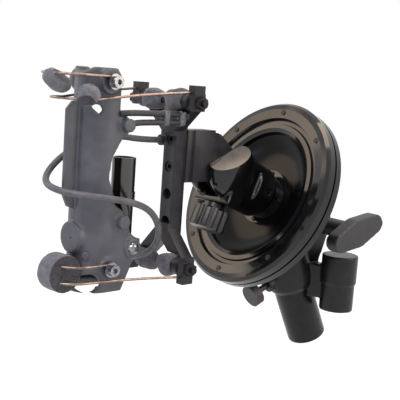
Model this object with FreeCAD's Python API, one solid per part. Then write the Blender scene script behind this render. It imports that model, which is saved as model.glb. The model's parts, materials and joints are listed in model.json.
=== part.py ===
import FreeCAD, Part
import math
import os
from FreeCAD import Placement, Rotation, Vector

# A sprung microphone cradle on a round dish plate, with the clamp that holds both on a pole.
# Everything is in millimetres, Z up. The origin is the centre of the pole socket's mouth.
# Three local frames are used: the clamp frame (Z along the pole tube), the dish frame (Z out of
# the dish's face) and the cradle frame (Z along the microphone, Y from cradle to bracket).

# Angles between the frames
TUBE_LEAN = 26.0        # pole tube from the vertical
DISH_TILT = 24.0        # dish face, looking up from the horizontal
REAR_TURN = -8.0        # dish and clamp about the vertical, against the cradle

# Clearances
SLIP = 0.05             # radial, between parts that fit into each other
GAP = 0.4               # between parts that move past each other

# Pole tube and clamp casting
TUBE_RADIUS = 18.5
TUBE_BORE = 16.0
TUBE_LENGTH = 80.0
STOP_THICKNESS = 4.0    # pole stop at the tube's upper end
COLLAR_RADIUS = 23.0
COLLAR_START = 57.0
COLLAR_CAP = 14.5
SHOULDER_RADIUS = 20.5
SHOULDER_HEIGHT = 5.0
PIVOT_OUT = 37.0        # tilt pivot, off the tube's axis
PIVOT_RISE = 108.6      # tilt pivot, along the tube
EAR_RADIUS = 18.0
EAR_INNER = 9.5
EAR_THICKNESS = 7.5
EAR_ROOT_OUT = 3.0
EAR_ROOT_DROP = 22.0    # ear root below the collar's top
EAR_ROOT_RADIUS = 19.0

# Side boss with its threaded bush
BOSS_X = 38.0
BOSS_Y = -1.5
BOSS_BASE = 34.0
BOSS_STEP = 60.0
BOSS_TOP = 87.0
BOSS_RADIUS = 17.0
BOSS_LOWER_RADIUS = 15.8
BUSH_RADIUS = 11.0
BUSH_BORE = 7.9
BUSH_LENGTH = 24.0
WEB_WIDTH = 13.0
WEB_LOW = 44.0
WEB_HIGH = 76.0

# Thumb screw that grips the pole
THUMB_HEIGHT = 73.0
THUMB_SHAFT = 3.0
THUMB_BOSS_RADIUS = 7.5
THUMB_BOSS_LENGTH = 6.5
THUMB_DISC_START = 42.0
THUMB_DISC_THICKNESS = 8.0
THUMB_DISC_RADIUS = 10.5

# Tilt pivot hardware
PIVOT_RADIUS = 4.0
PIVOT_HEAD_RADIUS = 7.5
PIVOT_HEAD_THICKNESS = 5.0
FRICTION_DISC_RADIUS = 14.0
FRICTION_DISC_THICKNESS = 1.0
NUT_RADIUS = 8.0
NUT_THICKNESS = 5.5
WING_HUB_RADIUS = 8.5
WING_START = 58.5
WING_THICKNESS = 13.0
WING_SPAN = 62.0
WING_END_RADIUS = 9.0
WING_HUB_SWELL = 13.0
WING_ANGLE = 21.0

# Dish plate
PIVOT_TO_FACE = 79.0    # tilt pivot to the plane of the dish's front rim
DISH_RADIUS = 88.0
FRONT_RING_DEPTH = 10.0
GASKET_DEPTH = 2.0
REAR_RING_DEPTH = 10.0
RIM_WIDTH = 28.0        # dish's rim, from its outer edge to the bowl's mouth
SEAM_DISTANCE = 18.0    # outer edge to where cup flange and gasket meet
RIM_SCREW_DISTANCE = 10.0
CUP_WALL = 3.0
CUP_FLOOR_RADIUS = 34.0
CUP_DEPTH = 21.0
CUP_HOLE = 12.0
HUB_RADIUS = 26.0
HUB_MIDDLE_RADIUS = 20.0
HUB_TOP_RADIUS = 14.0
HUB_BASE = 4.0
HUB_MIDDLE = 9.0
HUB_HEIGHT = 13.0
RIM_SCREWS = 8
RIM_SCREW_RADIUS = 2.6
RING_INNER = DISH_RADIUS - RIM_WIDTH
SEAM_RADIUS = DISH_RADIUS - SEAM_DISTANCE
RIM_SCREW_CIRCLE = DISH_RADIUS - RIM_SCREW_DISTANCE
HUB_SCREWS = 4
HUB_SCREW_CIRCLE = 23.0
HUB_SCREW_RADIUS = 2.0
LUG_BASE_RADIUS = 30.0
LUG_BASE_THICKNESS = 6.0
LUG_RADIUS = 16.0
LUG_ROOT_RADIUS = 17.0
LUG_SCREW_CIRCLE = 25.0
LUG_SCREW_RADIUS = 2.2

# Swivel between dish and arm
STEM_REACH = 33.0       # dish face to the arm's tilt axis
STEM_RADIUS = 9.0
STEM_END_GAP = 1.0
DRUM_RADIUS = 24.0
DRUM_HIGH = 12.0
DRUM_ROOF = 3.0         # drum above the stem's end
CHEEK_RADIUS = 22.0
CHEEK_OUTER = 22.0
BRIDGE_TOP = 21.5       # clamp bridge below the arm's tilt axis
BRIDGE_THICKNESS = 6.5
BRIDGE_HALF = 8.0
TILT_PIN_RADIUS = 5.0
TILT_PIN_HEAD_RADIUS = 9.5
TILT_PIN_HEAD = 2.2
SET_SCREW_RADIUS = 2.6
SET_SCREW_LENGTH = 9.0
STUD_RADIUS = 4.0
STUD_TIP_GAP = 0.6
KNOB_RADIUS = 16.0
KNOB_START = 33.0
KNOB_LENGTH = 19.0
KNOB_NECK_RADIUS = 9.5
KNOB_NECK_GAP = 0.5
KNOB_FLUTES = 9
KNOB_FLUTE_RADIUS = 4.5

# Arm and wire bracket, in the cradle frame with its zero at the bar's second hole
ARM_AXIS_Y = 70.0       # arm's tilt axis behind the bar's face
ARM_AXIS_Z = -9.0
ARM_HALF = 8.0
ARM_EYE_RADIUS = 17.0
ARM_LOBE_Y = 45.0
ARM_LOBE_Z = 14.0
ARM_LOBE_RADIUS = 15.0
ARM_LOW = -13.0
ARM_HIGH = 31.0
SPACER_THICKNESS = 9.0
BAR_HALF = 7.5
BAR_DEPTH = 12.0
BAR_TOP = 36.0
BAR_BOTTOM = -57.0
HOLE_PITCH = 23.0
HOLE_RADIUS = 2.75
COUNTERBORE_RADIUS = 4.6
COUNTERBORE_DEPTH = 5.0
BAR_SCREW_LENGTH = 26.0
ROD_Y = -6.0
UPPER_ROD_Z = 54.5
LOWER_ROD_Z = -79.0
ROD_RADIUS = 2.6
EYE_RADIUS = 7.0
EYE_START = 22.6
EYE_END = 30.0
FORK_HALF = 5.0
FORK_FRONT = -4.0
FORK_BACK = 8.0
PAD_RADIUS = 9.0
PAD_START = 9.5
PAD_LENGTH = 12.8
CLAMP_START = 30.2
CLAMP_WIDTH = 7.6
CLAMP_HALF_Y = 5.5
CLAMP_OVER = 5.0
ROD_NUT_RADIUS = 5.5
ROD_NUT_WIDTH = 4.5
ROD_TAIL = 2.7          # rod beyond its nut
ROD_HALF = CLAMP_START + CLAMP_WIDTH + ROD_NUT_WIDTH + ROD_TAIL
ANCHOR_X = 21.0
ANCHOR_Z = 45.0
ANCHOR_SIZE = 8.0
GLAND_X = -12.2
GLAND_Z = 21.0
GLAND_RADIUS = 4.6
GLAND_START = 0.0
GLAND_LENGTH = 11.0

# Cradle
CRADLE_Y = -76.0
CRADLE_RADIUS = 19.0
CRADLE_WALL = 2.8
CRADLE_TOP = 77.0
CRADLE_BOTTOM = -94.0
CRADLE_FLOOR = 5.0
CRADLE_FLOOR_HOLE = 13.5
LUG_FACE = 20.5
UPPER_SCREW = (-80.0, 67.0)
LOWER_SCREW = (-74.0, -75.0)
UPPER_LUG_RADIUS = 9.6
LOWER_LUG_RADIUS = 8.4
UPPER_PEG = (-64.0, 35.0)
LOWER_PEG = (-64.0, -39.0)
PEG_RADIUS = 5.3
PEG_END = 25.0
BUTTON_SPOT = (-51.0, -61.0)
BUTTON_BOSS_RADIUS = 8.0
BUTTON_FACE = 21.0
BUTTON_RADIUS = 5.0
BUTTON_HEIGHT = 3.4
SIGHT_HOLE = (-88.0, 46.0)
SIGHT_HOLE_RADIUS = 3.5
RIB_TIP_Y = -105.5
RIB_HALF = 1.4
RIB_HIGH = 51.0
RIB_LOW = -31.0
PAD_BOSS_Z = -52.0
PAD_BOSS_RADIUS = 12.5
PAD_BOSS_FACE = -97.5
ARCH_Y = -87.5
ARCH_HALF = 7.5
ARCH_LOW = -88.0
ARCH_SPRING = -86.5

# Screws on the cradle
SCREW_RADIUS = 2.5
SCREW_HEAD_RADIUS = 4.5
SCREW_HEAD = 4.6
SOCKET_RADIUS = 2.3
SOCKET_DEPTH = 2.4
WASHER_RADIUS = 5.9
WASHER_THICKNESS = 1.0

# Suspension wires and foam rolls
WIRE_RADIUS = 1.1
WIRE_SEAT = 0.1         # wire to lug face and to washer
INNER_UPPER_BEND_Y = -102.0
INNER_LOWER_BEND_Y = -92.5
OUTER_HALF = 20.5
OUTER_UPPER_BEND_Y = -95.0
OUTER_LOWER_BEND_Y = -94.0
OUTER_UPPER_TIP_Z = 54.3
OUTER_LOWER_TIP_Z = -84.0
OUTER_UPPER_END_Z = 63.0
OUTER_LOWER_END_Z = -86.5
OUTER_END_X = 34.0
OUTER_END_Y = -3.0
FOAM_UPPER = (-117.0, 67.0)
FOAM_UPPER_RADIUS = 9.6
FOAM_LOWER = (-107.5, -77.5)
FOAM_LOWER_RADIUS = 14.6
FOAM_LOWER_SHIFT = 3.0
FOAM_HALF = 8.6
SIDE_FOAM_Y = -102.0
SIDE_FOAM_Z = 54.0
SIDE_FOAM_RADIUS = 7.4
SIDE_FOAM_HALF = 6.6

# Connector at the cradle's open side
CONNECTOR_X = 3.0
CONNECTOR_Y = -50.5
SHELL_RADIUS = 9.4
SHELL_BORE = 8.0
SHELL_TOP = 9.0
SHELL_BOTTOM = -18.0
INSERT_TOP = 1.0
CONTACTS = 5
CONTACT_CIRCLE = 4.2
CONTACT_RADIUS = 0.8
CONTACT_LENGTH = 12.0
RING_RADIUS = 10.2
RING_HEIGHT = 7.0
REAR_SHELL_RADIUS = 9.0
REAR_SHELL_BOTTOM = -52.0
BOOT_RADIUS = 7.2
BOOT_BOTTOM = -77.0
BOOT_STUB_RADIUS = 4.4
BOOT_STUB_Z = -72.0
BOOT_STUB_END = -38.5
SADDLE_LOW = -67.5
SADDLE_HIGH = -54.5
SADDLE_BACK = -60.5
SADDLE_FRONT = -41.0

# Strap between cradle and bracket
STRAP_THICKNESS = 1.6
STRAP_X = 20.2
STRAP_WIDTH = 3.6
STRAP_SLIDER_Y = -27.0
STRAP_SLIDER_Z = 44.0
STRAP_SLIDER_SIZE = 6.0

# Microphone lead: from the gland behind the bar, round the cradle's back, to the boot
CABLE_RADIUS = 2.6
CABLE_ROUTE = (
    (-12.2, 0.0, 21.0), (-12.2, -20.0, 21.0), (-17.0, -42.0, 24.0), (-28.0, -61.0, 19.5),
    (-33.0, -82.0, 8.0), (-28.0, -101.0, -5.0), (-12.0, -113.5, -12.0), (7.0, -113.5, -15.0),
    (21.0, -103.0, -16.5), (29.0, -86.0, -18.5), (31.5, -67.0, -21.5), (30.5, -49.0, -27.0),
    (27.5, -36.0, -36.0), (24.0, -28.0, -47.0), (17.0, -22.5, -58.0), (8.0, -21.5, -68.0),
    (3.0, -28.5, -72.0), (3.0, -38.5, -72.0),
)


def point(x, y, z):
    return Vector(x, y, z)


X_AXIS = point(1, 0, 0)
Y_AXIS = point(0, 1, 0)
Z_AXIS = point(0, 0, 1)


# Basic solids
def cylinder(radius, start, axis, length):
    return Part.makeCylinder(radius, length, start, axis)


def block(x0, x1, y0, y1, z0, z1):
    return Part.makeBox(x1 - x0, y1 - y0, z1 - z0, point(x0, y0, z0))


def x_rod(radius, y, z, x0, x1):
    return cylinder(radius, point(x0, y, z), X_AXIS, x1 - x0)


def revolved(outline):
    """Solid of revolution about Z from (radius, height) points."""
    corners = [point(r, 0, h) for r, h in outline]
    face = Part.Face(Part.makePolygon(corners + corners[:1]))
    return face.revolve(point(0, 0, 0), Z_AXIS, 360)


def side_plate(outline, x0, x1):
    """Plate from (y, z) points, between two planes of constant x."""
    corners = [point(x0, y, z) for y, z in outline]
    face = Part.Face(Part.makePolygon(corners + corners[:1]))
    return face.extrude(point(x1 - x0, 0, 0))


def link_outline(a, b, radius_a, radius_b):
    """The four tangent points of two circles in a plane."""
    run = math.hypot(b[0] - a[0], b[1] - a[1])
    heading = math.atan2(b[1] - a[1], b[0] - a[0])
    opening = math.acos((radius_a - radius_b) / run)
    corners = []
    for centre, radius, side in ((a, radius_a, 1), (b, radius_b, 1), (b, radius_b, -1), (a, radius_a, -1)):
        angle = heading + side * opening
        corners.append((centre[0] + radius * math.cos(angle), centre[1] + radius * math.sin(angle)))
    return corners


def side_link(a, b, radius_a, radius_b, x0, x1):
    """Flat link with two round ends, seen from the side: a and b are (y, z)."""
    body = side_plate(link_outline(a, b, radius_a, radius_b), x0, x1)
    body = body.fuse(x_rod(radius_a, a[0], a[1], x0, x1))
    return body.fuse(x_rod(radius_b, b[0], b[1], x0, x1)).removeSplitter()


def hexagon(radius, start, axis, length):
    """Hexagonal prism; radius is to the corners."""
    prism = Part.Face(Part.makePolygon([
        point(radius * math.cos(math.radians(60 * k)), radius * math.sin(math.radians(60 * k)), 0)
        for k in range(7)])).extrude(point(0, 0, length))
    prism.Placement = Placement(start, Rotation(Z_AXIS, axis))
    return prism


def ring_of(shape, count, axis_point=point(0, 0, 0)):
    """Copies of a shape spaced evenly about the local Z axis."""
    copies = []
    for k in range(count):
        copy = shape.copy()
        copy.rotate(axis_point, Z_AXIS, 360.0 * k / count)
        copies.append(copy)
    return copies


def both_sides(shape):
    """A shape and its mirror image across the plane x = 0."""
    return [shape, shape.mirror(point(0, 0, 0), X_AXIS)]


def socket_screw(shank_radius, shank_length, head_radius, head_height, start, axis):
    """Cap screw: start is under the head, axis points from the shank to the head."""
    body = cylinder(shank_radius, start - axis * shank_length, axis, shank_length)
    head = cylinder(head_radius, start, axis, head_height)
    key = hexagon(head_radius / 2, start + axis * (head_height / 2), axis, head_height)
    return body.fuse(head).removeSplitter().cut(key)


# Where the frames stand
CLAMP_FRAME = Placement(Vector(), Rotation(X_AXIS, TUBE_LEAN))
PIVOT = CLAMP_FRAME.multVec(point(0, PIVOT_OUT, PIVOT_RISE))
FACE_NORMAL = point(0, -math.cos(math.radians(DISH_TILT)), math.sin(math.radians(DISH_TILT)))
DISH_FRAME = Placement(PIVOT + FACE_NORMAL * PIVOT_TO_FACE, Rotation(X_AXIS, 90.0 - DISH_TILT))
REAR = Placement(Vector(), Rotation(Z_AXIS, REAR_TURN))
ARM_CENTRE = REAR.multVec(DISH_FRAME.multVec(point(0, 0, STEM_REACH)))
FRONT = Placement(ARM_CENTRE - point(0, ARM_AXIS_Y, ARM_AXIS_Z), Rotation())
ON_CLAMP = REAR * CLAMP_FRAME
ON_DISH = REAR * DISH_FRAME
# the swivel's cheeks face the cradle, so they stand turned against the dish by REAR_TURN
ON_SWIVEL = Placement(ARM_CENTRE, Rotation(X_AXIS, 90.0 - DISH_TILT)) * Placement(
    point(0, 0, -STEM_REACH), Rotation())
DRUM_IN_SWIVEL = ON_SWIVEL.inverse() * ON_DISH

PIVOT_IN_REAR = (PIVOT.y, PIVOT.z)
EAR_OUTER = EAR_INNER + EAR_THICKNESS
LUG_HALF = EAR_INNER - FRICTION_DISC_THICKNESS - GAP
COLLAR_TOP = TUBE_LENGTH + STOP_THICKNESS + COLLAR_CAP
CHEEK_INNER = ARM_HALF + GAP
DRUM_LOW = HUB_HEIGHT - CUP_DEPTH + GAP
STEM_TOP = DRUM_HIGH - DRUM_ROOF
GASKET_BACK = FRONT_RING_DEPTH + GASKET_DEPTH
REAR_RING_BACK = GASKET_BACK + REAR_RING_DEPTH
CUP_BACK = CUP_DEPTH + CUP_WALL
SPACER_BACK = BAR_DEPTH + SPACER_THICKNESS
WIRE_X = LUG_FACE + WIRE_SEAT + WIRE_RADIUS
WASHER_FACE = WIRE_X + WIRE_RADIUS + WIRE_SEAT
HEAD_FACE = WASHER_FACE + WASHER_THICKNESS
WIRE_OVER_SCREW = SCREW_RADIUS + SLIP + WIRE_RADIUS


# Clamp on the pole, in the clamp frame or upright in the rear frame
def pole_tube():
    tube = cylinder(TUBE_RADIUS, Vector(), Z_AXIS, TUBE_LENGTH)
    tube = tube.cut(cylinder(TUBE_BORE, Vector(), Z_AXIS, TUBE_LENGTH))
    screw_hole = cylinder(THUMB_SHAFT + SLIP, point(0, 0, THUMB_HEIGHT), -Y_AXIS, COLLAR_RADIUS)
    return tube.cut(screw_hole)


def pole_stop():
    return cylinder(TUBE_RADIUS, point(0, 0, TUBE_LENGTH), Z_AXIS, STOP_THICKNESS)


def clamp_casting():
    collar = revolved([
        (0, COLLAR_START), (SHOULDER_RADIUS, COLLAR_START),
        (COLLAR_RADIUS, COLLAR_START + SHOULDER_HEIGHT), (COLLAR_RADIUS, COLLAR_TOP), (0, COLLAR_TOP)])
    thumb_boss = cylinder(THUMB_BOSS_RADIUS, point(0, 0, THUMB_HEIGHT), -Y_AXIS,
                          COLLAR_RADIUS + THUMB_BOSS_LENGTH)
    collar = collar.fuse(thumb_boss)
    collar.Placement = CLAMP_FRAME
    ear_root = CLAMP_FRAME.multVec(point(0, EAR_ROOT_OUT, COLLAR_TOP - EAR_ROOT_DROP))
    ears = side_link(PIVOT_IN_REAR, (ear_root.y, ear_root.z), EAR_RADIUS, EAR_ROOT_RADIUS,
                     EAR_INNER, EAR_OUTER)
    boss = cylinder(BOSS_RADIUS, point(BOSS_X, BOSS_Y, BOSS_STEP), Z_AXIS, BOSS_TOP - BOSS_STEP)
    boss = boss.fuse(cylinder(BOSS_LOWER_RADIUS, point(BOSS_X, BOSS_Y, BOSS_BASE), Z_AXIS,
                              BOSS_STEP - BOSS_BASE))
    lug_room = x_rod(LUG_RADIUS + 2 * GAP, PIVOT.y, PIVOT.z, -EAR_INNER, EAR_INNER)
    body = collar.cut(lug_room).fuse(both_sides(ears) + [boss, boss_web()])
    bore = cylinder(TUBE_RADIUS + SLIP, Vector(), Z_AXIS, TUBE_LENGTH + STOP_THICKNESS)
    bore = bore.fuse(cylinder(THUMB_SHAFT + SLIP, point(0, 0, THUMB_HEIGHT), -Y_AXIS,
                              2 * COLLAR_RADIUS))
    bore.Placement = CLAMP_FRAME
    bush_hole = cylinder(BUSH_RADIUS, point(BOSS_X, BOSS_Y, BOSS_BASE), Z_AXIS, BUSH_LENGTH)
    pivot_hole = x_rod(PIVOT_RADIUS + SLIP, PIVOT.y, PIVOT.z, -EAR_OUTER, EAR_OUTER)
    return body.cut([bore, bush_hole, pivot_hole]).removeSplitter()


def boss_web():
    """Upright web from the collar to the side boss."""
    middle = (WEB_LOW + WEB_HIGH) / 2
    start = CLAMP_FRAME.multVec(point(0, 0, middle / math.cos(math.radians(TUBE_LEAN))))
    run = point(BOSS_X - start.x, BOSS_Y - start.y, 0)
    web = Part.makeBox(run.Length, WEB_WIDTH, WEB_HIGH - WEB_LOW, point(0, -WEB_WIDTH / 2, 0))
    web.Placement = Placement(point(start.x, start.y, WEB_LOW), Rotation(X_AXIS, run))
    return web


def thread_bush():
    bush = cylinder(BUSH_RADIUS - SLIP, point(BOSS_X, BOSS_Y, BOSS_BASE), Z_AXIS, BUSH_LENGTH)
    return bush.cut(cylinder(BUSH_BORE, point(BOSS_X, BOSS_Y, BOSS_BASE), Z_AXIS, BUSH_LENGTH))


def thumb_screw():
    reach = THUMB_DISC_START - TUBE_BORE
    shaft = cylinder(THUMB_SHAFT, point(0, -TUBE_BORE, THUMB_HEIGHT), -Y_AXIS, reach)
    disc = cylinder(THUMB_DISC_RADIUS, point(0, -THUMB_DISC_START, THUMB_HEIGHT), -Y_AXIS,
                    THUMB_DISC_THICKNESS)
    return shaft.fuse(disc)


def pivot_bolt():
    length = EAR_OUTER + WING_START + WING_THICKNESS / 2
    shank = x_rod(PIVOT_RADIUS, PIVOT.y, PIVOT.z, -EAR_OUTER, length - EAR_OUTER)
    head = hexagon(PIVOT_HEAD_RADIUS, point(-EAR_OUTER, PIVOT.y, PIVOT.z), -X_AXIS,
                   PIVOT_HEAD_THICKNESS)
    return shank.fuse(head)


def pivot_nut():
    nut = hexagon(NUT_RADIUS, point(EAR_OUTER, PIVOT.y, PIVOT.z), X_AXIS, NUT_THICKNESS)
    return nut.cut(x_rod(PIVOT_RADIUS + SLIP, PIVOT.y, PIVOT.z, EAR_OUTER, EAR_OUTER + NUT_THICKNESS))


def friction_discs():
    start = EAR_INNER - FRICTION_DISC_THICKNESS
    disc = x_rod(FRICTION_DISC_RADIUS, PIVOT.y, PIVOT.z, start, EAR_INNER)
    disc = disc.cut(x_rod(PIVOT_RADIUS + SLIP, PIVOT.y, PIVOT.z, start, EAR_INNER))
    return Part.makeCompound(both_sides(disc))


def wing_knob():
    """Long wing on a hub, over the bolt's free end."""
    half = WING_SPAN / 2 - WING_END_RADIUS
    tips = []
    for side in (1, -1):
        dy = side * half * math.cos(math.radians(WING_ANGLE))
        dz = side * half * math.sin(math.radians(WING_ANGLE))
        tips.append(side_link(PIVOT_IN_REAR, (PIVOT.y + dy, PIVOT.z + dz), WING_HUB_SWELL,
                              WING_END_RADIUS, WING_START, WING_START + WING_THICKNESS))
    hub_start = EAR_OUTER + NUT_THICKNESS + GAP
    hub = x_rod(WING_HUB_RADIUS, PIVOT.y, PIVOT.z, hub_start, WING_START + 1)
    wing = tips[0].fuse([tips[1], hub]).removeSplitter()
    return wing.cut(x_rod(PIVOT_RADIUS + SLIP, PIVOT.y, PIVOT.z, hub_start,
                          WING_START + WING_THICKNESS / 2 + SLIP))


# Dish plate, in the dish frame
def front_ring():
    ring = revolved([
        (RING_INNER, -FRONT_RING_DEPTH), (RING_INNER, -5.5), (RING_INNER + 3, -3.0),
        (RING_INNER + 7, -3.0), (RING_INNER + 8, -5.0), (RING_INNER + 11, -5.0),
        (RING_INNER + 12.5, -1.5), (DISH_RADIUS - 7, 0), (DISH_RADIUS - 2.5, -0.6),
        (DISH_RADIUS, -3.5), (DISH_RADIUS, -FRONT_RING_DEPTH)])
    return ring.cut(rim_screw_solids(RIM_SCREW_RADIUS + SLIP))


def rim_screw_solids(radius):
    screw = cylinder(radius, point(0, RIM_SCREW_CIRCLE, -FRONT_RING_DEPTH + 2), Z_AXIS,
                     FRONT_RING_DEPTH - 2)
    return ring_of(screw, RIM_SCREWS)


def rim_screws():
    return Part.makeCompound(rim_screw_solids(RIM_SCREW_RADIUS))


def ring_gasket():
    return revolved([(SEAM_RADIUS, -GASKET_BACK), (SEAM_RADIUS, -FRONT_RING_DEPTH),
                     (DISH_RADIUS - 1.5, -FRONT_RING_DEPTH), (DISH_RADIUS - 1.5, -GASKET_BACK)])


def rear_ring():
    return revolved([(SEAM_RADIUS, -GASKET_BACK), (DISH_RADIUS, -GASKET_BACK),
                     (DISH_RADIUS, -REAR_RING_BACK + 4), (DISH_RADIUS - 4, -REAR_RING_BACK),
                     (SEAM_RADIUS, -REAR_RING_BACK)])


def dish_cup():
    """Bowl with a flat flange under the front ring and a flat floor round the hub."""
    flange = SEAM_RADIUS - SLIP
    rim = RING_INNER - 1.0
    bulge = 0.35
    middle = CUP_FLOOR_RADIUS + bulge * (rim - CUP_FLOOR_RADIUS)
    sag = FRONT_RING_DEPTH + (1 - bulge * bulge) * (CUP_DEPTH - FRONT_RING_DEPTH)
    front = [point(flange, 0, -FRONT_RING_DEPTH), point(rim, 0, -FRONT_RING_DEPTH),
             point(CUP_FLOOR_RADIUS, 0, -CUP_DEPTH), point(CUP_HOLE, 0, -CUP_DEPTH)]
    back = [corner - point(0, 0, CUP_WALL) for corner in front]
    dip = point(middle, 0, -sag)
    edges = [
        Part.makeLine(front[0], front[1]),
        Part.Arc(front[1], dip, front[2]).toShape(),
        Part.makeLine(front[2], front[3]),
        Part.makeLine(front[3], back[3]),
        Part.makeLine(back[3], back[2]),
        Part.Arc(back[2], dip - point(0, 0, CUP_WALL), back[1]).toShape(),
        Part.makeLine(back[1], back[0]),
        Part.makeLine(back[0], front[0]),
    ]
    return Part.Face(Part.Wire(edges)).revolve(Vector(), Z_AXIS, 360)


def hub_screw_solids(radius, height):
    screw = cylinder(radius, point(0, HUB_SCREW_CIRCLE, -CUP_DEPTH + 1), Z_AXIS, height)
    return ring_of(screw, HUB_SCREWS)


def hub_flange():
    bore = STEM_RADIUS + SLIP
    hub = revolved([(bore, -CUP_DEPTH), (HUB_RADIUS, -CUP_DEPTH), (HUB_RADIUS, HUB_BASE - CUP_DEPTH),
                    (HUB_MIDDLE_RADIUS, HUB_BASE - CUP_DEPTH),
                    (HUB_MIDDLE_RADIUS, HUB_MIDDLE - CUP_DEPTH),
                    (HUB_TOP_RADIUS, HUB_MIDDLE - CUP_DEPTH),
                    (HUB_TOP_RADIUS, HUB_HEIGHT - CUP_DEPTH), (bore, HUB_HEIGHT - CUP_DEPTH)])
    return hub.cut(hub_screw_solids(HUB_SCREW_RADIUS + SLIP, HUB_BASE))


def hub_screws():
    return Part.makeCompound(hub_screw_solids(HUB_SCREW_RADIUS, HUB_BASE))


def lug_frame_link():
    """The tongue between the clamp's ears, seen from the side in the dish frame."""
    return side_link((0, -PIVOT_TO_FACE), (0, -CUP_BACK - LUG_BASE_THICKNESS), LUG_RADIUS,
                     LUG_ROOT_RADIUS, -LUG_HALF, LUG_HALF)


def lug_screw_solids(radius):
    start = -CUP_BACK - LUG_BASE_THICKNESS - 1.6
    screw = cylinder(radius, point(LUG_SCREW_CIRCLE, 0, start), Z_AXIS, LUG_BASE_THICKNESS)
    screw.rotate(Vector(), Z_AXIS, 45)
    return ring_of(screw, HUB_SCREWS)


def tilt_lug():
    base = cylinder(LUG_BASE_RADIUS, point(0, 0, -CUP_BACK - LUG_BASE_THICKNESS), Z_AXIS,
                    LUG_BASE_THICKNESS)
    floor_trim = cylinder(LUG_BASE_RADIUS, point(0, 0, -CUP_BACK), Z_AXIS, LUG_ROOT_RADIUS)
    lug = base.fuse(lug_frame_link()).cut(floor_trim)
    pivot_hole = x_rod(PIVOT_RADIUS + SLIP, 0, -PIVOT_TO_FACE, -LUG_HALF, LUG_HALF)
    return lug.cut([pivot_hole] + lug_screw_solids(LUG_SCREW_RADIUS + SLIP)).removeSplitter()


def lug_screws():
    return Part.makeCompound(lug_screw_solids(LUG_SCREW_RADIUS))


# Swivel, in the dish frame
def swivel_stem():
    start = -CUP_DEPTH + STEM_END_GAP
    return cylinder(STEM_RADIUS, point(0, 0, start), Z_AXIS, STEM_TOP - start)


def swivel_housing():
    """Drum over the hub with two cheeks and a clamp bridge for the arm's eye."""
    drum = cylinder(DRUM_RADIUS, point(0, 0, DRUM_LOW), Z_AXIS, DRUM_HIGH - DRUM_LOW)
    drum = drum.cut(set_screw_solid(SET_SCREW_RADIUS + SLIP))
    drum.Placement = DRUM_IN_SWIVEL
    cheek = x_rod(CHEEK_RADIUS, 0, STEM_REACH, CHEEK_INNER, CHEEK_OUTER)
    cheek = cheek.fuse(block(CHEEK_INNER, CHEEK_OUTER, -CHEEK_RADIUS, CHEEK_RADIUS,
                             STEM_TOP, STEM_REACH))
    bridge = block(-CHEEK_OUTER, CHEEK_OUTER, -BRIDGE_TOP - BRIDGE_THICKNESS, -BRIDGE_TOP,
                   STEM_REACH - BRIDGE_HALF, STEM_REACH + BRIDGE_HALF)
    cheek_foot = block(CHEEK_INNER, CHEEK_OUTER, -BRIDGE_TOP, 0,
                       STEM_REACH - BRIDGE_HALF, STEM_REACH + BRIDGE_HALF)
    body = both_sides(cheek)[0].fuse([both_sides(cheek)[1], bridge] + both_sides(cheek_foot))
    envelope = cylinder(DRUM_RADIUS + 1.5, point(0, 0, DRUM_LOW), Z_AXIS, 2 * STEM_REACH)
    envelope = envelope.fuse(block(-CHEEK_OUTER, CHEEK_OUTER, -2 * CHEEK_RADIUS, 0,
                                   STEM_REACH - BRIDGE_HALF, STEM_REACH + BRIDGE_HALF))
    holes = [
        x_rod(TILT_PIN_RADIUS + SLIP, 0, STEM_REACH, -CHEEK_OUTER, CHEEK_OUTER),
        cylinder(STUD_RADIUS + SLIP, point(0, 0, STEM_REACH), -Y_AXIS, 2 * CHEEK_RADIUS),
    ]
    holes.append(stem_room())
    return body.common(envelope).fuse(drum).cut(holes).removeSplitter()


def stem_room():
    """The stem's hole in the drum, in the swivel's own frame."""
    room = cylinder(STEM_RADIUS + SLIP, point(0, 0, DRUM_LOW), Z_AXIS, STEM_TOP - DRUM_LOW)
    room.Placement = DRUM_IN_SWIVEL
    return room


def set_screw_solid(radius):
    return x_rod(radius, 0, 0, DRUM_RADIUS - SET_SCREW_LENGTH, DRUM_RADIUS)


def set_screw():
    key = hexagon(SET_SCREW_RADIUS / 2, point(DRUM_RADIUS - 3, 0, 0), X_AXIS, 4)
    return set_screw_solid(SET_SCREW_RADIUS).cut(key)


def tilt_pin():
    pin = x_rod(TILT_PIN_RADIUS, 0, STEM_REACH, -CHEEK_OUTER, CHEEK_OUTER)
    head = x_rod(TILT_PIN_HEAD_RADIUS, 0, STEM_REACH, CHEEK_OUTER, CHEEK_OUTER + TILT_PIN_HEAD)
    return pin.fuse(both_sides(head)).removeSplitter()


def lock_stud():
    start = -ARM_EYE_RADIUS - STUD_TIP_GAP
    end = -KNOB_START - KNOB_LENGTH / 2
    return cylinder(STUD_RADIUS, point(0, start, STEM_REACH), -Y_AXIS, start - end)


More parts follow.
